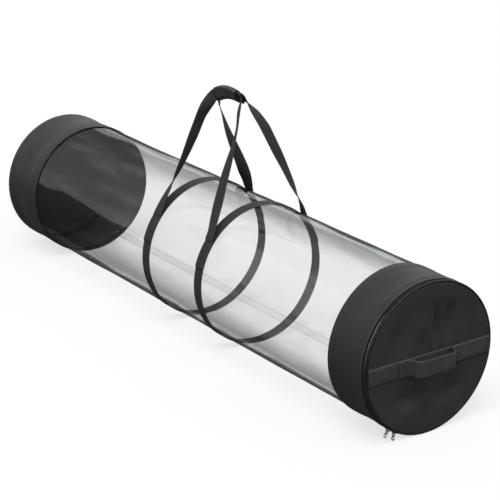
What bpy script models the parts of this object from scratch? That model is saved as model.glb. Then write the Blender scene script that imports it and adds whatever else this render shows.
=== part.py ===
"""Gift wrap organizer: a clear round bag for long rolls, with a zipped end cap.

The bag lies along X with its zipped cap at +X, +Y towards its back and +Z up.  Angles round the bag are
in degrees, from the top (+Z) towards the back (+Y).  Every length is in metres.
"""

import math

import bmesh
import bpy
from mathutils import Matrix, Vector

# The bag
TUBE_LENGTH = 1.025
TUBE_RADIUS = 0.115
REST_FLAT_DEPTH = 0.0005
SEAT_GAP = 0.0003
AROUND_STEPS = 64

# Mesh making
MERGE_GAP = 0.00001
SHARP_ANGLE = 35.0
CORNER_STEPS = 2
WIRE_CORNER_STEPS = 2

# Woven fabric and its folded hems
FABRIC = 0.0007
SLEEVE_HEM = 0.018
RIM_HEM = 0.009
FAR_SLEEVE_LENGTH = 0.099
NEAR_SLEEVE_LENGTH = 0.086

# Clear film sheet, rolled into a tube and welded along a lap
FILM = 0.0005
FILM_UNDER_HEM = 0.015
LAP_WIDTH = 0.012
LAP_RAMP_WIDTH = 0.012
LAP_ANGLE = 146.0

# End panels and the piping round them
PIPING_RADIUS = 0.0016
PANEL_HEM = 0.010
PIPING_SIDES = 6

# Zip
CHAIN_FROM_CAP_FACE = 0.0070
TOOTH_PITCH = 0.0060
TOOTH_GAP = 0.0003
TOOTH_REACH = 0.0010
SPINE_WIDTH = 0.0011
CHAIN_THICKNESS = 0.0024
TAPE_THICKNESS = 0.0006
TAPE_UNDER_HEM = 0.012
HINGE_ANGLE = 32.0
HINGE_HALF_ARC = 14.0
MEETING_HALF_ARC = 2.6
STOP_ARC = 2.0
STOP_GAP_ARC = 0.5

# Sliders and their pulls
SLIDER_LENGTH = 0.0120
SLIDER_PLATE = 0.0012
SLIDER_WALL = 0.0007
SLIDER_PLATE_EDGE = 0.0001
SLIDER_CLEARANCE = 0.0003
SLIDER_CORNER = 0.0016
SLIDER_SPACING = 0.0132
POST_LENGTH = 0.0026
POST_FROM_NOSE = 0.0008
TAPE_SLOT = 0.0016
BOW_WIRE_RADIUS = 0.0005
BOW_HALF_LENGTH = 0.0036
PULL_WIRE_RADIUS = 0.00055
PULL_LENGTH = 0.0118
PULL_EYE_WIDTH = 0.0050
PULL_EYE_LENGTH = 0.00535
PULL_SHOULDER_SHARE = 0.6
PULL_RING_WIDTH = 0.0062
PULL_RING_STEPS = 10
PULL_LEANS = {"slider_1": 4.0, "slider_2": 16.0}

# Webbing: two bands round the bag, two carry handles sewn on them, and the cap's strap and grip
WEBBING = 0.0012
BAND_WIDTH = 0.020
FAR_BAND_FROM_MIDDLE = -0.0515
NEAR_BAND_FROM_MIDDLE = 0.0975
HANDLE_BASE_ANGLE = 52.0
SEWN_END_LENGTH = 0.045
STRAP_WIDTH = 0.025
STRAP_DROP = 0.0025
GRIP_STAND = 0.020
GRIP_HALF_FRONT = 0.033
GRIP_RISE_WIDTH = 0.006
GRIP_FOOT_ROUNDING = 0.003
GRIP_FRONT_ROUNDING = 0.008
ROUNDING_STEPS = 3
GRIP_END_LENGTH = 0.018

# Wrap that holds the two carry handles together
WRAP_FABRIC = 0.0008
WRAP_START_FROM_MIDDLE = -0.018
WRAP_LENGTH = 0.065
WRAP_CREST_HEIGHT = 0.2798
WRAP_START_DROP = 0.0108
WRAP_END_DROP = 0.0023
WRAP_CREST_SHARE = 0.62
WRAP_SIDE_GAP = 0.0006
LAYER_GAP = 0.0006
FASTENER = 0.0004
FASTENER_WIDTH = 0.012
FLAP_LAP = 0.017

# Legs of the carry handles, from the band up to the wrap: (share of the rise, share of the run from the
# band to the wrap's end, degrees of twist).  No twist lays the webbing's width along the bag.
FRONT_FAR_LEG_SHARES = (
    (0.0, 0.0, 0), (0.08, 0.03, 10), (0.19, 0.12, 28), (0.26, 0.23, 40), (0.36, 0.30, 58), (0.49, 0.37, 76),
    (0.66, 0.42, 88), (0.80, 0.50, 90), (0.91, 0.67, 90), (0.97, 0.85, 90),
)
FRONT_NEAR_LEG_SHARES = (
    (0.0, 0.0, 180), (0.06, 0.02, 180), (0.13, 0.09, 182), (0.26, 0.20, 186), (0.38, 0.30, 186),
    (0.49, 0.38, 180), (0.60, 0.44, 166), (0.70, 0.49, 152), (0.81, 0.57, 144), (0.91, 0.74, 128), (0.965, 0.88, 106),
)
BACK_NEAR_LEG_SHARES = (
    (0.0, 0.0, 0), (0.05, -0.02, 2), (0.11, -0.08, 10), (0.16, -0.09, 22), (0.22, -0.06, 36), (0.31, -0.02, 54),
    (0.44, 0.02, 74), (0.58, 0.10, 86), (0.73, 0.26, 90), (0.81, 0.38, 90), (0.91, 0.64, 90), (0.965, 0.83, 90),
)
BACK_FAR_LEG_SHARES = (
    (0.0, 0.0, 180), (0.06, 0.04, 176), (0.16, 0.24, 150), (0.28, 0.38, 112), (0.41, 0.44, 94),
    (0.56, 0.46, 96), (0.68, 0.47, 108), (0.80, 0.48, 132), (0.86, 0.49, 128), (0.91, 0.56, 102), (0.965, 0.77, 90),
)
LEG_STEPS = 2
WRAP_STEPS = 8
WRAP_END_SHARE = 0.04
FASTENER_END_SHARE = 0.04

# Places worked out from the sizes
FAR_X = -(TUBE_LENGTH + GRIP_STAND) / 2
CAP_X = FAR_X + TUBE_LENGTH
MIDDLE_X = (FAR_X + CAP_X) / 2
AXIS_Z = TUBE_RADIUS - REST_FLAT_DEPTH
HEM = 2 * FABRIC
HEM_INNER = TUBE_RADIUS - HEM
FILM_OUTER = HEM_INNER - SEAT_GAP
PANEL_RADIUS = TUBE_RADIUS - 2 * PIPING_RADIUS - SEAT_GAP
SLEEVE_FAR_END = FAR_X + 2 * PIPING_RADIUS + SEAT_GAP
CHAIN_X = CAP_X - CHAIN_FROM_CAP_FACE
CHAIN_HALF = TOOTH_REACH + TOOTH_GAP + SPINE_WIDTH
TAPE_OUTER = HEM_INNER - SEAT_GAP
TAPE_MIDDLE = TAPE_OUTER - TAPE_THICKNESS / 2
CHANNEL_HALF = CHAIN_HALF + SLIDER_CLEARANCE
SLIDER_HALF = CHANNEL_HALF + SLIDER_WALL + SLIDER_PLATE_EDGE
SLEEVE_RIM = CHAIN_X - SLIDER_HALF - SLIDER_CLEARANCE
BAND_INNER = FILM_OUTER + SEAT_GAP
BAND_OUTER = BAND_INNER + WEBBING
SEWN_END_INNER = BAND_OUTER + SEAT_GAP
HANDLE_BASE_RADIUS = SEWN_END_INNER + WEBBING + SEAT_GAP + WEBBING / 2
WRAP_START_X = MIDDLE_X + WRAP_START_FROM_MIDDLE
WRAP_END_X = WRAP_START_X + WRAP_LENGTH
LAYER_OFFSET = (WEBBING + LAYER_GAP) / 2
FAR_BAND_X = MIDDLE_X + FAR_BAND_FROM_MIDDLE
NEAR_BAND_X = MIDDLE_X + NEAR_BAND_FROM_MIDDLE
PLATE_INNER_FACE = TAPE_MIDDLE + CHAIN_THICKNESS / 2 + SLIDER_CLEARANCE
PLATE_OUTER_FACE = PLATE_INNER_FACE + SLIDER_PLATE
PULL_AXIS_RADIUS = PLATE_OUTER_FACE + SLIDER_CLEARANCE + PULL_WIRE_RADIUS
BOW_RADIUS = PULL_AXIS_RADIUS + PULL_WIRE_RADIUS + SLIDER_CLEARANCE + BOW_WIRE_RADIUS
WRAP_MID_UP = LAYER_OFFSET + WEBBING / 2 + LAYER_GAP + WRAP_FABRIC / 2
WRAP_HALF = BAND_WIDTH / 2 + WRAP_SIDE_GAP + WRAP_FABRIC / 2
LOOP_UP = WRAP_MID_UP + WRAP_FABRIC / 2 + SEAT_GAP + FASTENER / 2
HOOK_UP = LOOP_UP + FASTENER + SEAT_GAP
FLAP_UP = HOOK_UP + FASTENER / 2 + SEAT_GAP + WRAP_FABRIC / 2
FLAP_ACROSS = WRAP_HALF + SEAT_GAP
STRAP_Z = AXIS_Z - STRAP_DROP
STRAP_OUTER = CAP_X + SEAT_GAP + WEBBING

# Finishes: colour, roughness, metallic and how much light passes
FINISHES = {
    "film": ((0.82, 0.84, 0.86), 0.08, 0.0, 0.9),
    "sleeve_fabric": ((0.055, 0.056, 0.060), 0.55, 0.0, 0.0),
    "cap_fabric": ((0.030, 0.030, 0.032), 0.60, 0.0, 0.0),
    "webbing": ((0.035, 0.035, 0.038), 0.70, 0.0, 0.0),
    "piping": ((0.015, 0.015, 0.016), 0.45, 0.0, 0.0),
    "zip_tape": ((0.012, 0.012, 0.013), 0.75, 0.0, 0.0),
    "zip_teeth": ((0.014, 0.014, 0.015), 0.35, 0.0, 0.0),
    "slider_enamel": ((0.010, 0.010, 0.011), 0.30, 0.6, 0.0),
    "pull_metal": ((0.72, 0.72, 0.74), 0.22, 1.0, 0.0),
}

collections = {}
cutters = []


def make_material(finish):
    """Principled BSDF material with the finish's colour, roughness, metallic value and transmission."""
    colour, roughness, metallic, transmission = FINISHES[finish]
    material = bpy.data.materials.get(finish) or bpy.data.materials.new(finish)
    material.use_nodes = True
    shader = material.node_tree.nodes["Principled BSDF"]
    shader.inputs["Base Color"].default_value = (*colour, 1.0)
    shader.inputs["Roughness"].default_value = roughness
    shader.inputs["Metallic"].default_value = metallic
    shader.inputs["Transmission Weight"].default_value = transmission
    return material


def ring_point(x, radius, angle):
    """Point at a place along the bag, a radius from its axis and an angle from the top."""
    turn = math.radians(angle)
    return Vector((x, radius * math.sin(turn), AXIS_Z + radius * math.cos(turn)))


def ring_frame(x, radius, angle):
    """Frame on the bag's wall: X along the bag, Y round it towards the back, Z outwards."""
    turn = math.radians(angle)
    out = Vector((0, math.sin(turn), math.cos(turn)))
    along = Vector((1, 0, 0))
    frame = Matrix((along, out.cross(along), out)).transposed().to_4x4()
    frame.translation = ring_point(x, radius, angle)
    return frame


def new_piece(name, mesh, finish, place="piece"):
    """Object for a mesh in the part's collection, or among the cutters."""
    piece = bpy.data.objects.new(name, mesh)
    collections[place].objects.link(piece)
    if finish:
        mesh.materials.append(make_material(finish))
    if place == "cutter":
        piece.hide_render = True
        piece.display_type = "WIRE"
    return piece


def solidify(piece, thickness, offset=0.0):
    """Gives an open surface its thickness."""
    wall = piece.modifiers.new("thickness", "SOLIDIFY")
    wall.thickness = thickness
    wall.offset = offset
    wall.use_even_offset = True


def boolean(piece, other, operation):
    """Cuts or joins another shape."""
    step = piece.modifiers.new(operation.lower(), "BOOLEAN")
    step.operation = operation
    step.object = other
    step.solver = "EXACT"


def smooth(piece):
    """Shades the round faces of a piece smooth and keeps its edges sharp."""
    piece.data.shade_smooth()
    piece.data.set_sharp_from_angle(angle=math.radians(SHARP_ANGLE))


def outline_area(outline):
    """Signed area of a closed outline."""
    pairs = zip(outline, outline[1:] + outline[:1])
    return sum(a[0] * b[1] - b[0] * a[1] for a, b in pairs) / 2


def turned(name, outline, finish, closed=True):
    """Ring or disc turned round the bag's axis from an outline of (place along the bag, radius).

    A closed outline makes a ring, and an open one starts and ends on the axis."""
    if outline_area(outline) < 0:
        outline = outline[::-1]
    mesh = bpy.data.meshes.new(name)
    count = len(outline)
    edges = [(i, (i + 1) % count) for i in range(count if closed else count - 1)]
    mesh.from_pydata([(radius, 0, x) for x, radius in outline], edges, [])
    piece = new_piece(name, mesh, finish)
    piece.rotation_euler = (0, math.pi / 2, 0)
    piece.location = (0, 0, AXIS_Z)
    screw = piece.modifiers.new("turn", "SCREW")
    screw.axis = "Z"
    screw.angle = 2 * math.pi
    screw.steps = screw.render_steps = AROUND_STEPS
    screw.use_merge_vertices = True
    screw.merge_threshold = MERGE_GAP
    screw.use_smooth_shade = True
    return piece


def arc_piece(name, outline, start, end, finish):
    """Solid swept round the bag's axis between two angles from a closed outline."""
    shape = bmesh.new()
    corners = [shape.verts.new(ring_point(x, radius, start)) for x, radius in outline]
    face = shape.faces.new(corners)
    steps = max(2, round(AROUND_STEPS * abs(end - start) / 360))
    bmesh.ops.spin(shape, geom=[face, *face.edges, *face.verts], cent=(0, 0, AXIS_Z), axis=(1, 0, 0),
                   angle=math.radians(start - end), steps=steps, use_merge=False)
    bmesh.ops.recalc_face_normals(shape, faces=shape.faces)
    mesh = bpy.data.meshes.new(name)
    shape.to_mesh(mesh)
    shape.free()
    piece = new_piece(name, mesh, finish)
    smooth(piece)
    return piece


def box(name, size, frame, finish=None, place="cutter", corner=0.0):
    """Block of a size, centred on a frame, its upright edges rounded where a corner size is given."""
    shape = bmesh.new()
    bmesh.ops.create_cube(shape, size=1.0)
    bmesh.ops.scale(shape, vec=size, verts=shape.verts)
    if corner:
        upright = [e for e in shape.edges if abs((e.verts[0].co - e.verts[1].co).z) > size[2] / 2]
        bmesh.ops.bevel(shape, geom=upright, offset=corner, segments=CORNER_STEPS, affect="EDGES")
    bmesh.ops.transform(shape, matrix=frame, verts=shape.verts)
    mesh = bpy.data.meshes.new(name)
    shape.to_mesh(mesh)
    shape.free()
    return new_piece(name, mesh, finish, place)


def surface(name, rows, finish, thickness, offset=0.0):
    """Sheet through rows of points, with a thickness."""
    shape = bmesh.new()
    grid = [[shape.verts.new(point) for point in row] for row in rows]
    for near, far in zip(grid, grid[1:]):
        for i in range(len(near) - 1):
            shape.faces.new((near[i], near[i + 1], far[i + 1], far[i]))
    mesh = bpy.data.meshes.new(name)
    shape.to_mesh(mesh)
    shape.free()
    piece = new_piece(name, mesh, finish)
    solidify(piece, thickness, offset)
    smooth(piece)
    return piece


def wire(name, points, radius, finish, closed, place="piece"):
    """Round wire along points, as a mesh with its caps joined on."""
    curve = bpy.data.curves.new(name, "CURVE")
    curve.dimensions = "3D"
    curve.bevel_depth = radius
    curve.bevel_resolution = WIRE_CORNER_STEPS
    curve.use_fill_caps = True
    spline = curve.splines.new("POLY")
    spline.points.add(len(points) - 1)
    for knot, point in zip(spline.points, points):
        knot.co = (*point, 1.0)
    spline.use_cyclic_u = closed
    rod = bpy.data.objects.new(name, curve)
    collections[place].objects.link(rod)
    bpy.context.view_layer.update()
    mesh = bpy.data.meshes.new_from_object(rod.evaluated_get(bpy.context.evaluated_depsgraph_get()))
    bpy.data.objects.remove(rod)
    bpy.data.curves.remove(curve)
    shape = bmesh.new()
    shape.from_mesh(mesh)
    bmesh.ops.remove_doubles(shape, verts=shape.verts, dist=MERGE_GAP)
    bmesh.ops.recalc_face_normals(shape, faces=shape.faces)
    shape.to_mesh(mesh)
    shape.free()
    mesh.name = name
    piece = new_piece(name, mesh, finish, place)
    smooth(piece)
    return piece


def rounded_corner(before, corner, after, reach):
    """Points of a round corner on a path, from a reach before the corner to as far after it."""
    start = corner + (before - corner).normalized() * reach
    end = corner + (after - corner).normalized() * reach
    shares = [i / ROUNDING_STEPS for i in range(ROUNDING_STEPS + 1)]
    return [start * (1 - t) ** 2 + corner * 2 * t * (1 - t) + end * t ** 2 for t in shares]


def spline_through(points, steps):
    """Smooth curve through points of any dimension, with a number of steps between each two."""
    out = []
    count = len(points)
    for i in range(count - 1):
        a, b, c, d = (points[min(max(j, 0), count - 1)] for j in (i - 1, i, i + 1, i + 2))
        for k in range(steps):
            t = k / steps
            out.append([0.5 * (2 * q + (r - p) * t + (2 * p - 5 * q + 4 * r - s) * t ** 2
                               + (3 * q - p - 3 * r + s) * t ** 3) for p, q, r, s in zip(a, b, c, d)])
    out.append(list(points[-1]))
    return out


def make_floor_cutter():
    """Slab under the bag, which presses flat the hems, bands and piping that it lies on."""
    slab = Matrix.Translation((MIDDLE_X, 0, -TUBE_RADIUS / 2))
    cutters.append(box("floor_slab", (2 * TUBE_LENGTH, 2 * TUBE_RADIUS, TUBE_RADIUS), slab))


def press_flat(piece):
    """Flattens a piece where the bag lies on the floor."""
    boolean(piece, cutters[0], "DIFFERENCE")


def make_clear_body():
    """Film sheet rolled once round, its inner edge stepping in under the outer one at the lap."""
    start = SLEEVE_FAR_END - SEAT_GAP - 2 * PIPING_RADIUS + FAR_SLEEVE_LENGTH - FILM_UNDER_HEM
    end = CAP_X - NEAR_SLEEVE_LENGTH + FILM_UNDER_HEM
    lap = math.degrees(LAP_WIDTH / FILM_OUTER)
    ramp = math.degrees(LAP_RAMP_WIDTH / FILM_OUTER)
    drop = FILM + SEAT_GAP
    step = 360 / AROUND_STEPS
    turns = [0, lap / 2, lap, lap + ramp / 2, lap + ramp]
    turns += [lap + ramp + step * i for i in range(1, int((360 - lap - ramp) / step))]
    turns += [360, 360 + lap / 2, 360 + lap]
    rows = []
    for x in (start, end):
        row = []
        for turn in turns:
            climb = min(max((turn - lap) / ramp, 0), 1)
            row.append(ring_point(x, FILM_OUTER - FILM / 2 - drop * (1 - climb), LAP_ANGLE + turn))
        rows.append(row)
    return surface("clear_body", rows, "film", FILM)


def make_sleeve(name, hem_end, rim_end):
    """Fabric sleeve with a folded hem over the film at one end and a narrower one at the rim."""
    way = 1 if rim_end > hem_end else -1
    outline = [
        (hem_end, TUBE_RADIUS), (rim_end, TUBE_RADIUS), (rim_end, HEM_INNER), (rim_end - way * RIM_HEM, HEM_INNER),
        (rim_end - way * RIM_HEM, TUBE_RADIUS - FABRIC), (hem_end + way * SLEEVE_HEM, TUBE_RADIUS - FABRIC),
        (hem_end + way * SLEEVE_HEM, HEM_INNER), (hem_end, HEM_INNER),
    ]
    sleeve = turned(name, outline, "sleeve_fabric")
    press_flat(sleeve)
    return sleeve


def make_panel(name, face, inward, finish):
    """Round end panel, its edge folded in to a double layer."""
    back = face + inward * FABRIC
    fold = face + inward * HEM
    edge = PANEL_RADIUS - PANEL_HEM
    return turned(name, [(face, 0), (face, PANEL_RADIUS), (fold, PANEL_RADIUS), (fold, edge), (back, edge), (back, 0)],
                  finish, closed=False)


def make_piping(name, face, inward):
    """Round bead along an end's corner, flush with the panel's face and the sleeve's wall."""
    x = face + inward * PIPING_RADIUS
    radius = TUBE_RADIUS - PIPING_RADIUS
    turns = [2 * math.pi * (i + 0.5) / PIPING_SIDES for i in range(PIPING_SIDES)]
    outline = [(x + PIPING_RADIUS * math.cos(t), radius + PIPING_RADIUS * math.sin(t)) for t in turns]
    piping = turned(name, outline, "piping")
    press_flat(piping)
    return piping


def make_tape(name, inner_x, outer_x):
    """Zip tape: a flat ring between two places along the bag."""
    return turned(name, [(inner_x, TAPE_OUTER), (outer_x, TAPE_OUTER), (outer_x, TAPE_OUTER - TAPE_THICKNESS),
                         (inner_x, TAPE_OUTER - TAPE_THICKNESS)], "zip_tape")


def make_teeth(name, side, first_tooth, last_tooth):
    """Row of zip teeth on their spine: a comb wrapped round the bag, whose teeth fill the other row's gaps.

    side is -1 on the bag and 1 on the cap.  Teeth are counted round from the one opposite the hinge."""
    tooth = TOOTH_PITCH / 2 - TOOTH_GAP
    shift = -tooth / 2 if side < 0 else (TOOTH_PITCH - tooth) / 2
    count = last_tooth - first_tooth + 1
    shape = bmesh.new()
    bmesh.ops.create_grid(shape, x_segments=2 * count - 1, y_segments=2, size=1.0)
    columns = sorted({round(v.co.x, 6) for v in shape.verts})
    rows = (CHAIN_X + side * CHAIN_HALF, CHAIN_X + side * (CHAIN_HALF - SPINE_WIDTH), CHAIN_X - side * TOOTH_REACH)
    places = {}
    for vert in shape.verts:
        places[vert] = (columns.index(round(vert.co.x, 6)), round(vert.co.y) + 1)
    gaps = [f for f in shape.faces if min(places[v][0] for v in f.verts) % 2 and max(places[v][1] for v in f.verts) == 2]
    for vert, (column, row) in places.items():
        run = (first_tooth + column // 2) * TOOTH_PITCH + (column % 2) * tooth + shift
        angle = HINGE_ANGLE + 180 + math.degrees(run / TAPE_MIDDLE)
        vert.co = ring_point(rows[row], TAPE_MIDDLE, angle)
    bmesh.ops.delete(shape, geom=gaps, context="FACES")
    mesh = bpy.data.meshes.new(name)
    shape.to_mesh(mesh)
    shape.free()
    piece = new_piece(name, mesh, "zip_teeth")
    solidify(piece, CHAIN_THICKNESS)
    return piece


def make_zip():
    """Both tapes, the rows of teeth, the stops at their ends and the fabric strips at the hinge."""
    make_tape("body_tape", SLEEVE_RIM - TAPE_UNDER_HEM, CHAIN_X - CHAIN_HALF - SEAT_GAP)
    make_tape("cap_tape", CHAIN_X + CHAIN_HALF + SEAT_GAP, CAP_X - 2 * PIPING_RADIUS - SEAT_GAP)
    half_arc = math.radians(180 - HINGE_HALF_ARC) * TAPE_MIDDLE
    last = int(half_arc / TOOTH_PITCH)
    clear = int(math.radians(MEETING_HALF_ARC) * TAPE_MIDDLE / TOOTH_PITCH) + 1
    make_teeth("body_teeth", -1, -last, last)
    make_teeth("cap_teeth_back", 1, -last, -clear - 1)
    make_teeth("cap_teeth_front", 1, clear, last - 1)
    stop = [
        (CHAIN_X - CHAIN_HALF, TAPE_MIDDLE + CHAIN_THICKNESS / 2), (CHAIN_X - SEAT_GAP, TAPE_MIDDLE + CHAIN_THICKNESS / 2),
        (CHAIN_X - SEAT_GAP, TAPE_MIDDLE - CHAIN_THICKNESS / 2), (CHAIN_X - CHAIN_HALF, TAPE_MIDDLE - CHAIN_THICKNESS / 2),
    ]
    for name, way in (("end_stop_front", -1), ("end_stop_back", 1)):
        edge = HINGE_ANGLE + way * (HINGE_HALF_ARC - STOP_GAP_ARC)
        arc_piece(name, stop, edge - way * STOP_ARC, edge, "slider_enamel")
    strips = (("hinge_strip_body", SLEEVE_RIM + SEAT_GAP, CHAIN_X - SEAT_GAP / 2),
              ("hinge_strip_cap", CHAIN_X + SEAT_GAP / 2, CAP_X - 2 * PIPING_RADIUS - SEAT_GAP))
    for name, low, high in strips:
        bottom = TAPE_OUTER + SEAT_GAP
        outline = [(low, bottom), (high, bottom), (high, bottom + FABRIC), (low, bottom + FABRIC)]
        reach = HINGE_HALF_ARC - STOP_GAP_ARC - STOP_ARC - STOP_GAP_ARC
        arc_piece(name, outline, HINGE_ANGLE - reach, HINGE_ANGLE + reach, "cap_fabric")


def slider_angle(way):
    """Angle of a slider's middle; way is 1 for the one that runs up the front, -1 for the other."""
    return HINGE_ANGLE + 180 + way * math.degrees(SLIDER_SPACING / 2 / TAPE_MIDDLE)


def make_slider(name, way):
    """Slider: two plates with side walls round the chain, a post between them at the nose, and a bow.

    Its nose points to the other slider.  The post stands on the cap's side of the chain."""
    frame = ring_frame(CHAIN_X, TAPE_MIDDLE, slider_angle(way))
    plate_size = (2 * SLIDER_HALF, SLIDER_LENGTH, SLIDER_PLATE)
    plate_height = PLATE_INNER_FACE + SLIDER_PLATE / 2 - TAPE_MIDDLE
    slider = box(name, plate_size, frame @ Matrix.Translation((0, 0, plate_height)), "slider_enamel", "piece",
                 SLIDER_CORNER)
    joined = [box(name + "_inner_plate", plate_size, frame @ Matrix.Translation((0, 0, -plate_height)),
                  corner=SLIDER_CORNER)]
    wall_length = SLIDER_LENGTH - 3 * SLIDER_CORNER
    wall_height = plate_height - TAPE_SLOT / 2
    for side in (-1, 1):
        for level in (-1, 1):
            spot = (side * (CHANNEL_HALF + SLIDER_WALL / 2), 0, level * (TAPE_SLOT / 2 + wall_height / 2))
            joined.append(box(f"{name}_wall_{side}_{level}", (SLIDER_WALL, wall_length, wall_height),
                              frame @ Matrix.Translation(spot)))
    post_low = TOOTH_REACH + TOOTH_GAP
    post_width = CHAIN_HALF - post_low
    nose = -way * (SLIDER_LENGTH / 2 - POST_FROM_NOSE - POST_LENGTH / 2)
    joined.append(box(name + "_post", (post_width, POST_LENGTH, 2 * plate_height),
                      frame @ Matrix.Translation((post_low + post_width / 2, nose, 0))))
    rise = BOW_RADIUS - TAPE_MIDDLE
    foot = plate_height
    bow_points = [(0, -BOW_HALF_LENGTH, foot), (0, -BOW_HALF_LENGTH, rise - BOW_WIRE_RADIUS),
                  (0, -BOW_HALF_LENGTH + BOW_WIRE_RADIUS, rise), (0, BOW_HALF_LENGTH - BOW_WIRE_RADIUS, rise),
                  (0, BOW_HALF_LENGTH, rise - BOW_WIRE_RADIUS), (0, BOW_HALF_LENGTH, foot)]
    joined.append(wire(name + "_bow", [frame @ Vector(p) for p in bow_points], BOW_WIRE_RADIUS, None, False, "cutter"))
    for shape in joined:
        boolean(slider, shape, "UNION")
    return slider


def make_pull(name, slider_name, way):
    """Pull that hangs from a slider's bow: an eye round the bow, with a grip ring below it."""
    frame = ring_frame(CHAIN_X, PULL_AXIS_RADIUS, slider_angle(way))
    frame = frame @ Matrix.Rotation(math.radians(PULL_LEANS[slider_name]), 4, "X")
    half = PULL_EYE_WIDTH / 2 - PULL_WIRE_RADIUS
    corners = [Vector(spot) for spot in ((half, 0), (-half, 0), (-half, PULL_EYE_LENGTH), (half, PULL_EYE_LENGTH))]
    eye = []
    for before, corner, after in zip(corners[-1:] + corners, corners, corners[1:] + corners[:1]):
        eye += rounded_corner(before, corner, after, half * PULL_SHOULDER_SHARE)
    half = PULL_RING_WIDTH / 2 - PULL_WIRE_RADIUS
    middle = PULL_LENGTH - 2 * PULL_WIRE_RADIUS - half
    turns = [math.radians(360 * step / PULL_RING_STEPS) for step in range(PULL_RING_STEPS)]
    ring = [(half * math.sin(turn), middle + half * math.cos(turn)) for turn in turns]
    places = [[frame @ Vector((across, 0, down)) for across, down in points] for points in (eye, ring)]
    pull = wire(name, places[0], PULL_WIRE_RADIUS, "pull_metal", True)
    boolean(pull, wire(name + "_ring", places[1], PULL_WIRE_RADIUS, None, True, "cutter"), "UNION")
    return pull


def make_band(name, x):
    """Webbing band sewn round the film."""
    half = BAND_WIDTH / 2
    band = turned(name, [(x - half, BAND_OUTER), (x + half, BAND_OUTER), (x + half, BAND_INNER),
                         (x - half, BAND_INNER)], "webbing")
    press_flat(band)
    return band


def make_sewn_end(name, x, side):
    """End of a carry handle sewn flat on its band, below where the handle leaves it."""
    half = BAND_WIDTH / 2
    outline = [(x - half, SEWN_END_INNER), (x + half, SEWN_END_INNER), (x + half, SEWN_END_INNER + WEBBING),
               (x - half, SEWN_END_INNER + WEBBING)]
    top = side * HANDLE_BASE_ANGLE
    bottom = top + side * math.degrees(SEWN_END_LENGTH / BAND_OUTER)
    return arc_piece(name, outline, top, bottom, "webbing")


def wrap_curve(share):
    """Middle of the wrap at a share of its length: its place along the bag and its height."""
    crest = WRAP_CREST_SHARE
    drop = WRAP_START_DROP if share < crest else WRAP_END_DROP
    off = (share - crest) / (crest if share < crest else 1 - crest)
    height = WRAP_CREST_HEIGHT - drop * off ** 2
    return WRAP_START_X + WRAP_LENGTH * share, AXIS_Z + height


def leg_points(shares, band_x, side, wrap_share):
    """Points of a leg from its base up to the wrap, each with the webbing's twist.

    side is -1 at the front and 1 at the back."""
    base = ring_point(band_x, HANDLE_BASE_RADIUS, side * HANDLE_BASE_ANGLE)
    top_x, top_z = wrap_curve(wrap_share)
    top = Vector((top_x, 0, top_z))
    points = []
    for rise, run, twist in shares:
        points.append((base.x + run * (top.x - base.x), base.y * (1 - rise), base.z + rise * (top.z - base.z), twist))
    return points


def make_handle(name, first_leg, second_leg, layer, toward):
    """Carry handle: one length of webbing from band to band, twisting up each leg, flat inside the wrap.

    layer is how far the webbing lies outside the loop's middle line, so that one handle clears the other.
    toward is the way along Y of the width's first edge inside the wrap."""
    wrap = []
    shares = [-WRAP_END_SHARE, *(i / WRAP_STEPS for i in range(WRAP_STEPS + 1)), 1 + WRAP_END_SHARE]
    if first_leg[0][0] > second_leg[0][0]:
        shares.reverse()
    for share in shares:
        x, z = wrap_curve(share)
        wrap.append((x, 0.0, z, 90))
    route = spline_through(first_leg + wrap + second_leg[::-1], LEG_STEPS)
    rows = []
    for i, (x, y, z, twist) in enumerate(route):
        before, after = route[max(i - 1, 0)], route[min(i + 1, len(route) - 1)]
        outwards = Vector((after[2] - before[2], 0, before[0] - after[0])).normalized() * toward
        flat = Vector((0, toward, 0))
        if i in (0, len(route) - 1):
            outwards = Vector((math.copysign(1, after[2] - before[2]) * toward, 0, 0))
        across = flat * math.sin(math.radians(twist)) - outwards * math.cos(math.radians(twist))
        centre = Vector((x, y, z)) + outwards * layer
        rows.append([centre - across * BAND_WIDTH / 2, centre + across * BAND_WIDTH / 2])
    return surface(name, rows, "webbing", WEBBING)


def along_wrap(name, section, finish, thickness, start=0.0, end=1.0):
    """Sheet that follows the wrap: a section of (across, up from the middle) points, with a thickness."""
    rows = []
    for i in range(WRAP_STEPS + 1):
        x, z = wrap_curve(start + (end - start) * i / WRAP_STEPS)
        rows.append([Vector((x, across, z + up)) for across, up in section])
    return surface(name, rows, finish, thickness)


def make_wrap():
    """Wrap: a fold round the front of both handles, and a flap that closes it behind and laps its top."""
    lip = BAND_WIDTH / 2
    along_wrap("handle_wrap", [(lip, -WRAP_MID_UP), (0, -WRAP_MID_UP), (-WRAP_HALF, -WRAP_MID_UP),
                               (-WRAP_HALF, WRAP_MID_UP), (0, WRAP_MID_UP), (lip, WRAP_MID_UP)],
               "webbing", WRAP_FABRIC)
    lap = FLAP_ACROSS - FLAP_LAP
    along_wrap("wrap_flap", [(FLAP_ACROSS, -WRAP_MID_UP - WRAP_FABRIC / 2), (FLAP_ACROSS, 0), (FLAP_ACROSS, FLAP_UP),
                             (FLAP_ACROSS - FLAP_LAP / 2, FLAP_UP), (lap, FLAP_UP)], "webbing", WRAP_FABRIC)
    fastener_from = lap + WRAP_FABRIC
    edges = (fastener_from, fastener_from + FASTENER_WIDTH)
    for name, up in (("loop_tape", LOOP_UP), ("hook_tape", HOOK_UP)):
        along_wrap(name, [(across, up) for across in edges], "zip_tape", FASTENER, FASTENER_END_SHARE,
                   1 - FASTENER_END_SHARE)


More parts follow.
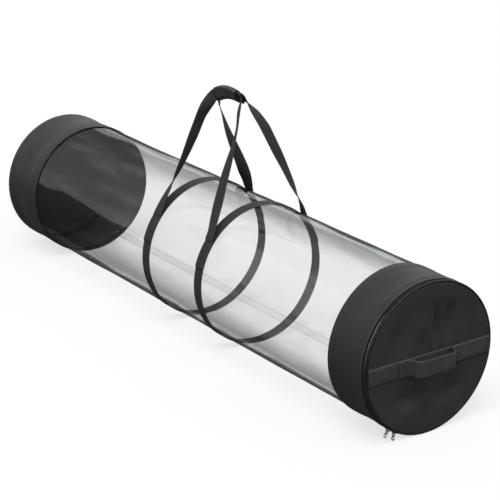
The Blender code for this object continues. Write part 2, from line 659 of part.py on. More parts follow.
def make_carry_handles():
    """Both carry handles, their sewn ends and the wrap."""
    for part, side in (("front", -1), ("back", 1)):
        for end, x in (("far", FAR_BAND_X), ("near", NEAR_BAND_X)):
            make_sewn_end(f"{part}_{end}_sewn_end", x, side)
    make_handle("front_handle", leg_points(FRONT_FAR_LEG_SHARES, FAR_BAND_X, -1, 0),
                leg_points(FRONT_NEAR_LEG_SHARES, NEAR_BAND_X, -1, 1), -LAYER_OFFSET, -1)
    make_handle("back_handle", leg_points(BACK_NEAR_LEG_SHARES, NEAR_BAND_X, 1, 1),
                leg_points(BACK_FAR_LEG_SHARES, FAR_BAND_X, 1, 0), LAYER_OFFSET, 1)
    make_wrap()


def make_cap_strap():
    """Webbing strap across the cap, sewn in at both rims."""
    x = STRAP_OUTER - WEBBING / 2
    half_height = STRAP_WIDTH / 2
    reach = math.sqrt(PANEL_RADIUS ** 2 - (half_height + STRAP_DROP) ** 2)
    rows = [[Vector((x, side * reach, STRAP_Z - half_height)), Vector((x, side * reach, STRAP_Z + half_height))]
            for side in (-1, 0, 1)]
    return surface("cap_strap", rows, "webbing", WEBBING)


def make_cap_grip():
    """Grip of webbing: its ends sewn flat on the strap, its middle standing off for the fingers."""
    low = STRAP_OUTER + SEAT_GAP + WEBBING / 2
    high = CAP_X + GRIP_STAND - WEBBING / 2
    foot = GRIP_HALF_FRONT + GRIP_RISE_WIDTH
    end, heel, front = (Vector((y, x)) for y, x in ((foot + GRIP_END_LENGTH, low), (foot, low), (GRIP_HALF_FRONT, high)))
    middle = Vector((0, high))
    half = [end, *rounded_corner(end, heel, front, GRIP_FOOT_ROUNDING)]
    half += rounded_corner(heel, front, middle, GRIP_FRONT_ROUNDING)
    path = [(y, x) for y, x in half] + [(-y, x) for y, x in half[::-1]]
    rows = [[Vector((x, y, STRAP_Z - STRAP_WIDTH / 2)), Vector((x, y, STRAP_Z + STRAP_WIDTH / 2))] for y, x in path]
    return surface("cap_handle", rows, "webbing", WEBBING)


def hang_on_axis(name, location, pieces):
    """Puts moving pieces under an empty that stands on their joint's axis."""
    axis = bpy.data.objects.new(name + "_axis", None)
    collections["piece"].objects.link(axis)
    axis.location = location
    bpy.context.view_layer.update()
    for piece in pieces:
        child = bpy.data.objects[piece]
        child.parent = axis
        child.matrix_parent_inverse = axis.matrix_world.inverted()


def set_joint_axes():
    """An empty on each joint's axis, which carries the pieces that turn on it."""
    hang_on_axis("cap_swing", ring_point(CHAIN_X, TUBE_RADIUS + SEAT_GAP, HINGE_ANGLE), [
        "cap_panel", "cap_piping", "cap_tape", "cap_teeth_front", "cap_teeth_back", "hinge_strip_cap", "cap_strap",
        "cap_handle"])
    hang_on_axis("slider_1_travel", (CHAIN_X, 0, AXIS_Z), ["slider_1"])
    hang_on_axis("slider_2_travel", (CHAIN_X, 0, AXIS_Z), ["slider_2"])
    hang_on_axis("pull_1_swing", ring_point(CHAIN_X, PULL_AXIS_RADIUS, slider_angle(1)), ["pull_1"])
    hang_on_axis("pull_2_swing", ring_point(CHAIN_X, PULL_AXIS_RADIUS, slider_angle(-1)), ["pull_2"])
    middle = (FAR_BAND_X + NEAR_BAND_X) / 2
    hang_on_axis("front_handle_swing", ring_point(middle, HANDLE_BASE_RADIUS, -HANDLE_BASE_ANGLE),
                 ["front_handle", "handle_wrap", "loop_tape"])
    hang_on_axis("back_handle_swing", ring_point(middle, HANDLE_BASE_RADIUS, HANDLE_BASE_ANGLE), ["back_handle"])
    hinge_x, hinge_z = wrap_curve(0.0)
    hang_on_axis("wrap_flap_open", (hinge_x, FLAP_ACROSS, hinge_z - WRAP_MID_UP), ["wrap_flap", "hook_tape"])


def main():
    """Clears the scene and builds the organizer."""
    for old in list(bpy.data.objects):
        bpy.data.objects.remove(old, do_unlink=True)
    for key, title in (("piece", "gift_wrap_organizer"), ("cutter", "cutters")):
        collections[key] = bpy.data.collections.new(title)
        bpy.context.scene.collection.children.link(collections[key])
    make_floor_cutter()
    make_clear_body()
    make_sleeve("far_sleeve", FAR_X + FAR_SLEEVE_LENGTH, SLEEVE_FAR_END)
    make_sleeve("near_sleeve", CAP_X - NEAR_SLEEVE_LENGTH, SLEEVE_RIM)
    make_panel("far_panel", FAR_X, 1, "sleeve_fabric")
    make_panel("cap_panel", CAP_X, -1, "cap_fabric")
    make_piping("far_piping", FAR_X, 1)
    make_piping("cap_piping", CAP_X, -1)
    make_zip()
    make_slider("slider_1", 1)
    make_slider("slider_2", -1)
    make_pull("pull_1", "slider_1", 1)
    make_pull("pull_2", "slider_2", -1)
    make_band("far_band", FAR_BAND_X)
    make_band("near_band", NEAR_BAND_X)
    make_carry_handles()
    make_cap_strap()
    make_cap_grip()
    set_joint_axes()


main()
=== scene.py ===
"""Looks of the gift wrap organizer: clear film, fabric sleeves and cap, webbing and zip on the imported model.

The bag lies along X with its zipped cap at +X, its back towards +Y, and +Z up. Sizes are in metres. Angles
round the bag run from the top (+Z) towards the back (+Y), in degrees in the fields and in radians in the
arrays.
"""

import logging
import math
from collections.abc import Callable, Iterable, Sequence
from dataclasses import dataclass, field
from enum import Enum

import bmesh
import bpy
import numpy as np
from mathutils import Matrix, Vector


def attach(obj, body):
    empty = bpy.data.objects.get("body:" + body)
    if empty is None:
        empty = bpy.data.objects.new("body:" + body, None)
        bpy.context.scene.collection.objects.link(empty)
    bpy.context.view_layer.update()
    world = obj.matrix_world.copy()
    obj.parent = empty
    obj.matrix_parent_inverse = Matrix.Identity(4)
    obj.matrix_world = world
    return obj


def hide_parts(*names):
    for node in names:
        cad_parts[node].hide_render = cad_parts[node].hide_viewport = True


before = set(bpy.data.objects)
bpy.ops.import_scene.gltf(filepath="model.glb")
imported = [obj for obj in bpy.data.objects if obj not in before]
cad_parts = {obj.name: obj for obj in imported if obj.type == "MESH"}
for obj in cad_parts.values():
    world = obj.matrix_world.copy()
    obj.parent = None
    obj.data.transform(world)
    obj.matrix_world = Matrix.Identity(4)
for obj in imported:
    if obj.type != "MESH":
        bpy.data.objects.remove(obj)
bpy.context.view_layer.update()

LOG = logging.getLogger("gift_wrap_organizer")
Outline = list[tuple[float, float]]
Colour = tuple[float, float, float]
Pair = tuple[np.ndarray, np.ndarray]
Bend = Callable[[np.ndarray, np.ndarray, np.ndarray], Pair]
Dent = tuple[float, float, float, float, float]
Leg = tuple[tuple[float, float, float], ...]
Shader = bpy.types.NodeSocket


# Shader maths


class Value:
    """A shader socket, on which Python's operators add Math nodes."""

    def __init__(self, tree: "Tree", socket: bpy.types.NodeSocket) -> None:
        """Keeps the socket and the tree that it is in."""
        self.tree = tree
        self.socket = socket

    def math(self, operation: str, *terms: "Value | float") -> "Value":
        """Math node on this value and others.

        Args:
            operation: The Math node's operation.
            terms: The values that come after this one.

        Returns:
            The node's result.
        """
        return self.tree.math(operation, self, *terms)

    def __add__(self, other: "Value | float") -> "Value":
        """Sum."""
        return self.math("ADD", other)

    __radd__ = __add__

    def __sub__(self, other: "Value | float") -> "Value":
        """Difference."""
        return self.math("SUBTRACT", other)

    def __rsub__(self, other: "Value | float") -> "Value":
        """Difference from a number."""
        return self.tree.math("SUBTRACT", other, self)

    def __mul__(self, other: "Value | float") -> "Value":
        """Product."""
        return self.math("MULTIPLY", other)

    __rmul__ = __mul__

    def __truediv__(self, other: "Value | float") -> "Value":
        """Quotient."""
        return self.math("DIVIDE", other)

    def __pow__(self, other: "Value | float") -> "Value":
        """Power."""
        return self.math("POWER", other)

    def __mod__(self, other: float) -> "Value":
        """Rest after a division, never negative."""
        return self.math("FLOORED_MODULO", other)

    def __abs__(self) -> "Value":
        """Size without its sign."""
        return self.math("ABSOLUTE")

    def sine(self) -> "Value":
        """Sine."""
        return self.math("SINE")

    def floor(self) -> "Value":
        """Whole number below."""
        return self.math("FLOOR")

    def step(self, low: float, high: float) -> "Value":
        """Smooth step from 0 at one value to 1 at another.

        Args:
            low: Where the step starts.
            high: Where it ends.

        Returns:
            The step.
        """
        node = self.tree.add("ShaderNodeMapRange", {"interpolation_type": "SMOOTHSTEP"},
                             {"Value": self, "From Min": low, "From Max": high})
        return Value(self.tree, node.outputs["Result"])


class Tree:
    """Node tree of one material, or of the world."""

    def __init__(self, name: str, world: bpy.types.World | None = None) -> None:
        """Starts an empty material with a name, or empties the given world."""
        self.owner = world or bpy.data.materials.new(name)
        self.owner.use_nodes = True
        self.tree = self.owner.node_tree
        self.tree.nodes.clear()

    def add(self, kind: str, settings: dict[str, object] | None = None,
            inputs: dict[str | int, object] | None = None) -> bpy.types.Node:
        """Adds a node.

        Args:
            kind: The node's type.
            settings: Its properties, set first.
            inputs: Values, or links from other sockets, by the input's identifier, name or number.

        Returns:
            The node.
        """
        node = self.tree.nodes.new(kind)
        for key, value in (settings or {}).items():
            setattr(node, key, value)
        for key, value in (inputs or {}).items():
            socket = next((s for s in node.inputs if s.identifier == key), None) or node.inputs[key]
            if isinstance(value, Value):
                value = value.socket
            if isinstance(value, bpy.types.NodeSocket):
                self.tree.links.new(value, socket)
            else:
                socket.default_value = value
        return node

    def math(self, operation: str, *terms: Value | float) -> Value:
        """Math node.

        Args:
            operation: Its operation.
            terms: Its values in order.

        Returns:
            The result.
        """
        node = self.add("ShaderNodeMath", {"operation": operation})
        for socket, term in zip(node.inputs, terms):
            if isinstance(term, Value):
                self.tree.links.new(term.socket, socket)
            else:
                socket.default_value = term
        return Value(self, node.outputs[0])

    def mix(self, factor: Value | float, first: Colour, second: Colour) -> bpy.types.NodeSocket:
        """Mix of two colours.

        Args:
            factor: Share of the second colour.
            first: First colour.
            second: Second colour.

        Returns:
            The socket with the mixed colour.
        """
        node = self.add("ShaderNodeMix", {"data_type": "RGBA"},
                        {"Factor_Float": factor, "A_Color": (*first, 1.0), "B_Color": (*second, 1.0)})
        return next(s for s in node.outputs if s.identifier == "Result_Color")

    def blend(self, factor: Value | float, first: Shader, second: Shader) -> Shader:
        """Mix of two shaders, with the factor as the second one's share."""
        return self.add("ShaderNodeMixShader", None, {0: factor, 1: first, 2: second}).outputs[0]

    def even(self, kind: str, colour: Colour) -> Shader:
        """Shader of a kind with one even colour."""
        return self.add(kind, None, {"Color": (*colour, 1.0)}).outputs[0]

    def cloth(self) -> tuple[Value, Value]:
        """Place on the cloth: metres along it, and metres across it from its middle."""
        node = self.add("ShaderNodeSeparateXYZ", None, {"Vector": self.add("ShaderNodeUVMap").outputs["UV"]})
        return Value(self, node.outputs["X"]), Value(self, node.outputs["Y"])

    def place(self, stretch: tuple[float, float, float] = (1.0, 1.0, 1.0)) -> bpy.types.NodeSocket:
        """Object coordinates, scaled along each axis."""
        source = self.add("ShaderNodeTexCoord").outputs["Object"]
        return self.add("ShaderNodeMapping", None, {"Vector": source, "Scale": stretch}).outputs["Vector"]

    def noise(self, size: float, detail: float = 2.0,
              stretch: tuple[float, float, float] = (1.0, 1.0, 1.0)) -> Value:
        """Noise on the object's own coordinates.

        Args:
            size: Size of its patches.
            detail: Its octaves.
            stretch: Scale along each axis.

        Returns:
            The noise, about 0 to 1.
        """
        node = self.add("ShaderNodeTexNoise", None,
                        {"Vector": self.place(stretch), "Scale": 1 / size, "Detail": detail})
        return Value(self, node.outputs[0])

    def bump(self, height: Value, depth: float, strength: float = 1.0) -> bpy.types.NodeSocket:
        """Bumps in the surface.

        Args:
            height: Height, 0 to 1.
            depth: Real height of 1, in metres.
            strength: Strength of the effect.

        Returns:
            The bumped normal.
        """
        node = self.add("ShaderNodeBump", None, {"Height": height, "Distance": depth, "Strength": strength})
        return node.outputs["Normal"]

    def principled(self, **inputs: object) -> Shader:
        """Principled shader, its inputs named with underscores for spaces."""
        named = {name.replace("_", " "): value for name, value in inputs.items()}
        return self.add("ShaderNodeBsdfPrincipled", None, named).outputs[0]

    def done(self, shader: Shader) -> bpy.types.Material:
        """Puts a shader out and gives back the material."""
        self.add("ShaderNodeOutputMaterial", None, {"Surface": shader})
        return self.owner


# Finishes


class Finish:
    """A finish, whose material is made once."""

    made: dict[object, bpy.types.Material] = {}

    def material(self) -> bpy.types.Material:
        """The finish's material."""
        if self not in Finish.made:
            Finish.made[self] = self.build()
        return Finish.made[self]

    def build(self) -> bpy.types.Material:
        """Makes the material."""
        raise NotImplementedError


@dataclass(frozen=True)
class ClearFilm(Finish):
    """Clear vinyl, which lets less light through at a slant, with haze, scuffs, a painted pale highlight near
    its outline and a grey rim of painted dark reflection.

    The steps are values of Layer Weight's Facing, which is 0 straight on and 1 flat along the film.
    """

    straight: Colour = (0.960, 0.963, 0.964)
    slanted: Colour = (0.740, 0.748, 0.748)
    slant_step: tuple[float, float] = (0.44, 0.72)
    pale: Colour = (0.90, 0.91, 0.92)
    # Painted dark reflection: the gloss takes this grey where the film is seen edge-on, which gives a dark rim
    # along its outline.
    painted_dark_rim_colour: Colour = (0.24, 0.245, 0.25)
    painted_dark_rim_step: tuple[float, float] = (0.77, 0.86)
    painted_dark_rim_share: float = 0.46
    # Painted highlight: a pale band near the film's outline, picked out by Facing, where the film gets more
    # gloss and lets more light through.
    painted_highlight_on: tuple[float, float] = (0.715, 0.75)
    painted_highlight_off: tuple[float, float] = (0.775, 0.81)
    painted_highlight_share: float = 0.10
    painted_highlight_clearing: float = 0.55
    haze_share: float = 0.030
    scuff_share: float = 0.07
    scuff_size: float = 0.030
    polish: float = 0.05
    scuffed: float = 0.12
    ripple_size: float = 0.045
    ripple_depth: float = 0.0022

    def build(self) -> bpy.types.Material:
        """Makes the material."""
        tree = Tree("clear_film")
        facing = Value(tree, tree.add("ShaderNodeLayerWeight", None, {"Blend": 0.5}).outputs["Facing"])
        scuffs = tree.noise(self.scuff_size, 4.0, (0.16, 1.0, 1.0)).step(0.45, 0.80)
        clouds = tree.noise(0.11, 2.0, (0.5, 1.0, 1.0))
        ripples = tree.noise(self.ripple_size, 2.0, (0.22, 1.0, 1.0))
        # Painted dark reflection: a grey rim of gloss where the film is seen edge-on.
        rim = facing.step(*self.painted_dark_rim_step)
        # Painted highlight: a pale band of Facing near the outline, glossier and clearer than the film beside
        # it.
        painted_highlight = facing.step(*self.painted_highlight_on) * (1.0 - facing.step(*self.painted_highlight_off))
        gloss = tree.principled(
            Base_Color=tree.mix(rim, self.pale, self.painted_dark_rim_colour), Metallic=1.0,
            Roughness=self.polish + self.scuffed * scuffs, Normal=tree.bump(ripples, self.ripple_depth, 0.6))
        glossy = (self.haze_share + self.scuff_share * scuffs * clouds + self.painted_highlight_share * painted_highlight
                  + self.painted_dark_rim_share * rim)
        clear = tree.even("ShaderNodeBsdfTransparent", self.straight)
        dim = tree.even("ShaderNodeBsdfTransparent", self.slanted)
        seen = tree.blend(facing.step(*self.slant_step) - self.painted_highlight_clearing * painted_highlight, clear, dim)
        return tree.done(tree.blend(glossy, seen, gloss))


@dataclass(frozen=True)
class WovenFabric(Finish):
    """Close plain weave with a coated back: fine threads, soft clouds of shade and lighter places along folds,
    with wear and a painted highlight.
    """

    name: str
    colour: Colour
    worn_and_lit: Colour
    roughness: float = 0.55
    thread: float = 0.0009
    specular: float = 0.14
    depth: float = 0.00012

    def build(self) -> bpy.types.Material:
        """Makes the material."""
        tree = Tree(self.name)
        along, across = tree.cloth()
        # The wear attribute lightens the sleeves' folded edges: wear together with a painted highlight along
        # the folds.
        rubbed = Value(tree, tree.add("ShaderNodeAttribute", {"attribute_name": "wear"}).outputs["Fac"])
        turns = math.pi / self.thread
        weave = (along * turns).sine() * (across * turns).sine() * 0.5 + 0.5
        fibre = tree.noise(0.0006, 2.0)
        clouds = tree.noise(0.055, 3.0)
        creases = tree.noise(0.030, 3.0, (1.0, 0.45, 0.45)).step(0.42, 0.78)
        shade = 0.30 * clouds + 0.20 * weave + 0.16 * fibre + 0.18 * creases + 0.9 * rubbed
        normal = tree.bump(weave * 0.6 + fibre * 0.4 + creases * 2.0, self.depth, 0.55)
        return tree.done(tree.principled(
            Base_Color=tree.mix(shade, self.colour, self.worn_and_lit),
            Roughness=self.roughness + 0.14 * (clouds - 0.5), Specular_IOR_Level=self.specular,
            Sheen_Weight=0.03, Sheen_Roughness=0.4, Normal=normal))


@dataclass(frozen=True)
class Webbing(Finish):
    """Woven webbing: rows of grains set half a grain apart, with a tight edge on each side."""

    name: str
    width: float
    colour: Colour = (0.017, 0.0175, 0.019)
    raised: Colour = (0.066, 0.067, 0.071)
    grain: float = 0.0022
    column: float = 0.0018
    edge: float = 0.0013
    lacing_share: float = 0.6
    depth: float = 0.00035

    def build(self) -> bpy.types.Material:
        """Makes the material."""
        tree = Tree(self.name)
        along, across = tree.cloth()
        column = across / self.column
        shifted = along / self.grain + (column.floor() % 2.0) * 0.5
        grain = abs((shifted * math.pi).sine()) ** 0.7 * abs((column * math.pi).sine()) ** 0.6
        selvage = abs(across).step(self.width / 2 - 1.6 * self.edge, self.width / 2 - self.edge)
        lacing = abs((along * (math.pi / (self.grain * self.lacing_share))).sine())
        height = grain * (1.0 - selvage) + selvage * (0.75 + 0.25 * lacing)
        wear = tree.noise(0.024, 3.0).step(0.35, 0.8)
        shade = height * (0.62 + 0.38 * wear)
        normal = tree.bump(height + 0.2 * tree.noise(0.0005, 1.0), self.depth, 0.75)
        return tree.done(tree.principled(
            Base_Color=tree.mix(shade, self.colour, self.raised), Roughness=0.66 - 0.12 * height,
            Specular_IOR_Level=0.13, Sheen_Weight=0.04, Sheen_Roughness=0.45, Normal=normal))


@dataclass(frozen=True)
class Plain(Finish):
    """Moulded, painted or drawn stock: even colour with a fine grain, rubbed lighter here and there."""

    name: str
    colour: Colour
    rubbed: Colour
    roughness: float
    metallic: float = 0.0
    grain: float = 0.0012
    depth: float = 0.00004
    specular: float = 0.5

    def build(self) -> bpy.types.Material:
        """Makes the material."""
        tree = Tree(self.name)
        grain = tree.noise(self.grain, 3.0)
        rubs = tree.noise(self.grain * 9, 3.0).step(0.48, 0.75)
        return tree.done(tree.principled(
            Base_Color=tree.mix(0.65 * rubs + 0.2 * grain, self.colour, self.rubbed), Metallic=self.metallic,
            Roughness=self.roughness + 0.16 * (grain - 0.5) + 0.08 * rubs, Specular_IOR_Level=self.specular,
            Normal=tree.bump(grain, self.depth, 0.5)))


@dataclass(frozen=True)
class Pile(Finish):
    """Hook or loop tape: a dense short pile."""

    name: str
    colour: Colour = (0.008, 0.008, 0.009)
    tips: Colour = (0.045, 0.045, 0.048)
    spacing: float = 0.0009
    depth: float = 0.0003

    def build(self) -> bpy.types.Material:
        """Makes the material."""
        tree = Tree(self.name)
        node = tree.add("ShaderNodeTexVoronoi", None, {"Vector": tree.place(), "Scale": 1 / self.spacing})
        tips = 1.0 - Value(tree, node.outputs["Distance"])
        return tree.done(tree.principled(
            Base_Color=tree.mix(tips.step(0.35, 1.0), self.colour, self.tips), Roughness=0.85,
            Specular_IOR_Level=0.25, Normal=tree.bump(tips, self.depth, 0.8)))


class Look(Enum):
    """The finishes of the organizer."""

    FILM = ClearFilm()
    SLEEVE = WovenFabric("sleeve_weave", (0.020, 0.021, 0.0225), (0.056, 0.058, 0.062), 0.46, specular=0.15)
    CAP = WovenFabric("cap_weave", (0.026, 0.026, 0.0265), (0.066, 0.066, 0.067), 0.48, specular=0.15)
    BAND = Webbing("band_webbing", 0.020)
    STRAP = Webbing("strap_webbing", 0.025, (0.026, 0.026, 0.027), (0.108, 0.108, 0.109))
    WRAP = WovenFabric("wrap_weave", (0.042, 0.043, 0.045), (0.122, 0.124, 0.129), 0.62, 0.0011)
    PIPING = Plain("piping_cord", (0.010, 0.010, 0.011), (0.034, 0.034, 0.035), 0.45, specular=0.22)
    TAPE = WovenFabric("zip_tape_weave", (0.007, 0.007, 0.008), (0.018, 0.018, 0.019), 0.72, 0.0006)
    TEETH = Plain("zip_teeth_moulded", (0.009, 0.009, 0.010), (0.026, 0.026, 0.028), 0.42, specular=0.25)
    ENAMEL = Plain("slider_enamel", (0.008, 0.008, 0.009), (0.055, 0.055, 0.058), 0.27, 0.5)
    METAL = Plain("pull_nickel", (0.30, 0.30, 0.31), (0.46, 0.46, 0.47), 0.22, 1.0)
    THREAD = Plain("sewing_thread", (0.022, 0.022, 0.024), (0.060, 0.060, 0.064), 0.60, 0.0, 0.0004)
    PILE = Pile("fastener_pile")


# Sizes


@dataclass(frozen=True)
class Bag:
    """Sizes that the sub-assemblies share."""

    radius: float = 0.115
    axis_z: float = 0.1145
    far_x: float = -0.5225
    cap_x: float = 0.5025
    gap: float = 0.0003
    fabric: float = 0.0007
    webbing: float = 0.0012
    piping: float = 0.0016
    thread_lift: float = 0.0001
    chain_x: float = 0.4955
    chain_half: float = 0.0024
    tape_outer: float = 0.1133
    tape_middle: float = 0.1130
    hinge_angle: float = 32.0
    sleeve_rim: float = 0.4917
    film_outer: float = 0.1133
    far_band_x: float = -0.0615
    near_band_x: float = 0.0875
    band_width: float = 0.020
    band_inner: float = 0.1136

    @property
    def hem_inner(self) -> float:
        """Radius inside a folded hem."""
        return self.radius - 2 * self.fabric

    @property
    def panel_radius(self) -> float:
        """Radius of an end panel."""
        return self.radius - 2 * self.piping - self.gap

    @property
    def band_outer(self) -> float:
        """Radius outside a webbing band."""
        return self.band_inner + self.webbing


BAG = Bag()
NEAR_DENTS: tuple[Dent, ...] = (
    (-70.0, 46.0, 0.030, 0.020, 0.0012), (-20.0, 60.0, 0.048, 0.022, 0.0010),
    (60.0, 40.0, 0.040, 0.022, 0.0012), (150.0, 50.0, 0.036, 0.022, 0.0010),
    (-120.0, 34.0, 0.050, 0.020, 0.0008))
FAR_DENTS: tuple[Dent, ...] = (
    (-50.0, 40.0, 0.040, 0.026, 0.0014), (15.0, 44.0, 0.056, 0.026, 0.0012),
    (95.0, 50.0, 0.046, 0.026, 0.0014), (-110.0, 44.0, 0.058, 0.026, 0.0010))
CAP_CREASES: tuple[Dent, ...] = (
    (0.012, 0.013, 0.048, 0.056, 0.0070), (0.035, 0.013, 0.052, 0.052, 0.0064),
    (-0.014, 0.016, 0.024, 0.030, 0.0034), (-0.058, 0.030, 0.040, 0.044, 0.0030),
    (-0.034, 0.036, -0.054, 0.026, 0.0050), (0.036, 0.040, -0.056, 0.030, 0.0036))
FAR_CREASES: tuple[Dent, ...] = ((0.02, 0.05, 0.02, 0.06, 0.0014),)
CAP_BINDING = ((0.0041, 0.1125), (0.0034, 0.1125), (0.0029, 0.1116), (0.0016, 0.1114), (0.0016, 0.1094),
               (0.0041, 0.1094))
FAR_BINDING = ((0.0062, 0.1134), (0.0038, 0.1134), (0.0030, 0.1116), (0.0016, 0.1114), (0.0016, 0.1094),
               (0.0062, 0.1106))


# Mesh making


def smoothed(value: np.ndarray | float) -> np.ndarray:
    """Smooth step of a value between 0 and 1."""
    share = np.clip(value, 0.0, 1.0)
    return share * share * (3.0 - 2.0 * share)


def hump(place: np.ndarray, centre: float, half: float) -> np.ndarray:
    """Smooth hump of height 1, round a centre and half as wide as given.

    Args:
        place: Places to work out.
        centre: Top of the hump.
        half: Distance at which it has died away.

    Returns:
        Its height at each place.
    """
    return smoothed(1.0 - np.abs(place - centre) / half)


def turn_gap(angle: np.ndarray, centre: float) -> np.ndarray:
    """Way round from a centre in degrees to each angle in radians, in degrees from -180 to 180."""
    return (np.degrees(angle) - centre + 180.0) % 360.0 - 180.0


def box(low: float, high: float, first: float, last: float) -> Outline:
    """Corners of a box from low to high one way, and from first to last the other."""
    return [(low, first), (high, first), (high, last), (low, last)]


def rounded(outline: Sequence[tuple[float, float]], radius: float, steps: int = 3,
            closed: bool = True) -> Outline:
    """Rounds the corners of an outline.

    Args:
        outline: Its corners.
        radius: How far each rounding reaches from its corner.
        steps: Pieces in each rounding.
        closed: Whether the last corner joins the first.

    Returns:
        The rounded outline.
    """
    corners = [np.array(c, float) for c in outline]
    count = len(corners)
    out: Outline = []
    for i, corner in enumerate(corners):
        if not closed and i in (0, count - 1):
            out.append(tuple(corner))
            continue
        ends = []
        for other in (corners[i - 1], corners[(i + 1) % count]):
            way = other - corner
            ends.append(corner + way * min(radius / np.linalg.norm(way), 0.48))
        for k in range(steps + 1):
            t = k / steps
            out.append(tuple((1 - t) ** 2 * ends[0] + 2 * (1 - t) * t * corner + t * t * ends[1]))
    return out


def spaced(outline: Outline, gap: float, closed: bool = True) -> Outline:
    """Adds points to an outline so that none of its sides is longer than a gap.

    Args:
        outline: Its points.
        gap: Longest side.
        closed: Whether the last point joins the first.

    Returns:
        The outline with the added points.
    """
    out: Outline = []
    after = outline[1:] + (outline[:1] if closed else [])
    for a, b in zip(outline, after):
        pieces = max(1, math.ceil(math.dist(a, b) / gap))
        out += [(a[0] + (b[0] - a[0]) * k / pieces, a[1] + (b[1] - a[1]) * k / pieces) for k in range(pieces)]
    return out if closed else out + [outline[-1]]


def splined(points: np.ndarray, steps: int) -> np.ndarray:
    """Smooth curve through points.

    Args:
        points: Points, one in each row.
        steps: Pieces between each two of them.

    Returns:
        The curve's points.
    """
    padded = np.concatenate([points[:1], points, points[-1:]])
    share = (np.arange(steps) / steps)[:, None]
    out = []
    for a, b, c, d in zip(padded, padded[1:], padded[2:], padded[3:]):
        out.append(0.5 * (2 * b + (c - a) * share + (2 * a - 5 * b + 4 * c - d) * share ** 2
                          + (3 * b - a - 3 * c + d) * share ** 3))
    return np.concatenate([*out, points[-1:]])


def run_along(points: np.ndarray) -> np.ndarray:
    """Distance along a line of points to each of them."""
    return np.concatenate([[0.0], np.cumsum(np.linalg.norm(np.diff(points, axis=0), axis=1))])


def ring_point(x: float, radius: float, angle: float) -> Vector:
    """Point at a place along the bag, a radius from its axis and an angle from the top."""
    turn = math.radians(angle)
    return Vector((x, radius * math.sin(turn), BAG.axis_z + radius * math.cos(turn)))


def ring_frame(x: float, radius: float, angle: float) -> Matrix:
    """Frame on the bag's wall: X along the bag, Y round it towards the back, Z outwards."""
    turn = math.radians(angle)
    out = Vector((0, math.sin(turn), math.cos(turn)))
    along = Vector((1, 0, 0))
    made = Matrix((along, out.cross(along), out)).transposed().to_4x4()
    made.translation = ring_point(x, radius, angle)
    return made


def linked(name: str, data: bpy.types.ID) -> bpy.types.Object:
    """Makes an object of a mesh, a lamp or a camera, in the scene and at the origin."""
    made = bpy.data.objects.new(name, data)
    bpy.context.scene.collection.objects.link(made)
    return made


def as_mesh(shape: bmesh.types.BMesh, mesh: bpy.types.Mesh) -> None:
    """Puts a shape in a mesh, smooth and with the faces of a closed one outwards, and frees the shape."""
    if all(edge.is_manifold for edge in shape.edges) and shape.calc_volume(signed=True) < 0:
        bmesh.ops.reverse_faces(shape, faces=shape.faces)
    shape.to_mesh(mesh)
    shape.free()
    mesh.shade_smooth()


def as_object(name: str, shape: bmesh.types.BMesh) -> bpy.types.Object:
    """Makes an object of a shape, which is freed."""
    mesh = bpy.data.meshes.new(name)
    as_mesh(shape, mesh)
    return linked(name, mesh)


def grid(name: str, points: np.ndarray, cloth: np.ndarray, wrap_rows: bool = False,
         wrap_columns: bool = False, capped: bool = False,
         wear: np.ndarray | None = None) -> bpy.types.Object:
    """Skin over rows of points.

    Args:
        name: The object's name.
        points: Points by row and column.
        cloth: Place on the cloth of each, with one more row or column where that way is closed.
        wrap_rows: Whether the last row joins the first.
        wrap_columns: Whether the last column joins the first.
        capped: Whether the first and last row are closed with a face.
        wear: How much lighter each point is coloured, 0 to 1: wear together with a painted highlight on folded
            edges.

    Returns:
        The object.
    """
    rows, columns = points.shape[:2]
    shape = bmesh.new()
    layer = shape.loops.layers.uv.new("cloth")
    verts = [[shape.verts.new(p) for p in row] for row in points.tolist()]
    for i in range(rows if wrap_rows else rows - 1):
        for j in range(columns if wrap_columns else columns - 1):
            corners = ((i, j), (i, j + 1), (i + 1, j + 1), (i + 1, j))
            face = shape.faces.new([verts[a % rows][b % columns] for a, b in corners])
            for loop, (a, b) in zip(face.loops, corners):
                loop[layer].uv = cloth[a, b]
    if capped:
        for row, place in ((verts[0][::-1], cloth[0][::-1]), (verts[-1], cloth[-1])):
            face = shape.faces.new(row)
            for loop, spot in zip(face.loops, place[-len(row):]):
                loop[layer].uv = spot
    piece = as_object(name, shape)
    # Lighter colour on the sleeves' folded edges: wear together with a painted highlight along the folds.
    if wear is not None:
        rubbed = piece.data.attributes.new("wear", "FLOAT", "POINT")
        rubbed.data.foreach_set("value", np.broadcast_to(wear, (rows, columns)).astype(np.float32).ravel())
    return piece


def swept(outline: Outline, bend: Bend | None, around: int, start: float = 0.0, end: float = 360.0) -> Pair:
    """Points of an outline swept round the bag's axis.

    Args:
        outline: Points of (place along the bag, radius).
        bend: Moves the points; gets and gives places along the bag and radii, by angle.
        around: Steps round.
        start: First angle in degrees.
        end: Last angle in degrees.

    Returns:
        The points by angle and place in the outline, and the angles in radians.
    """
    angles = np.radians(start + (end - start) * np.arange(around + 1) / around)[:, None]
    x, radius = (np.tile(side, (around + 1, 1)) for side in np.array(outline).T)
    if bend:
        x, radius = bend(x, radius, angles)
    return np.stack([x, radius * np.sin(angles), BAG.axis_z + radius * np.cos(angles)], -1), angles


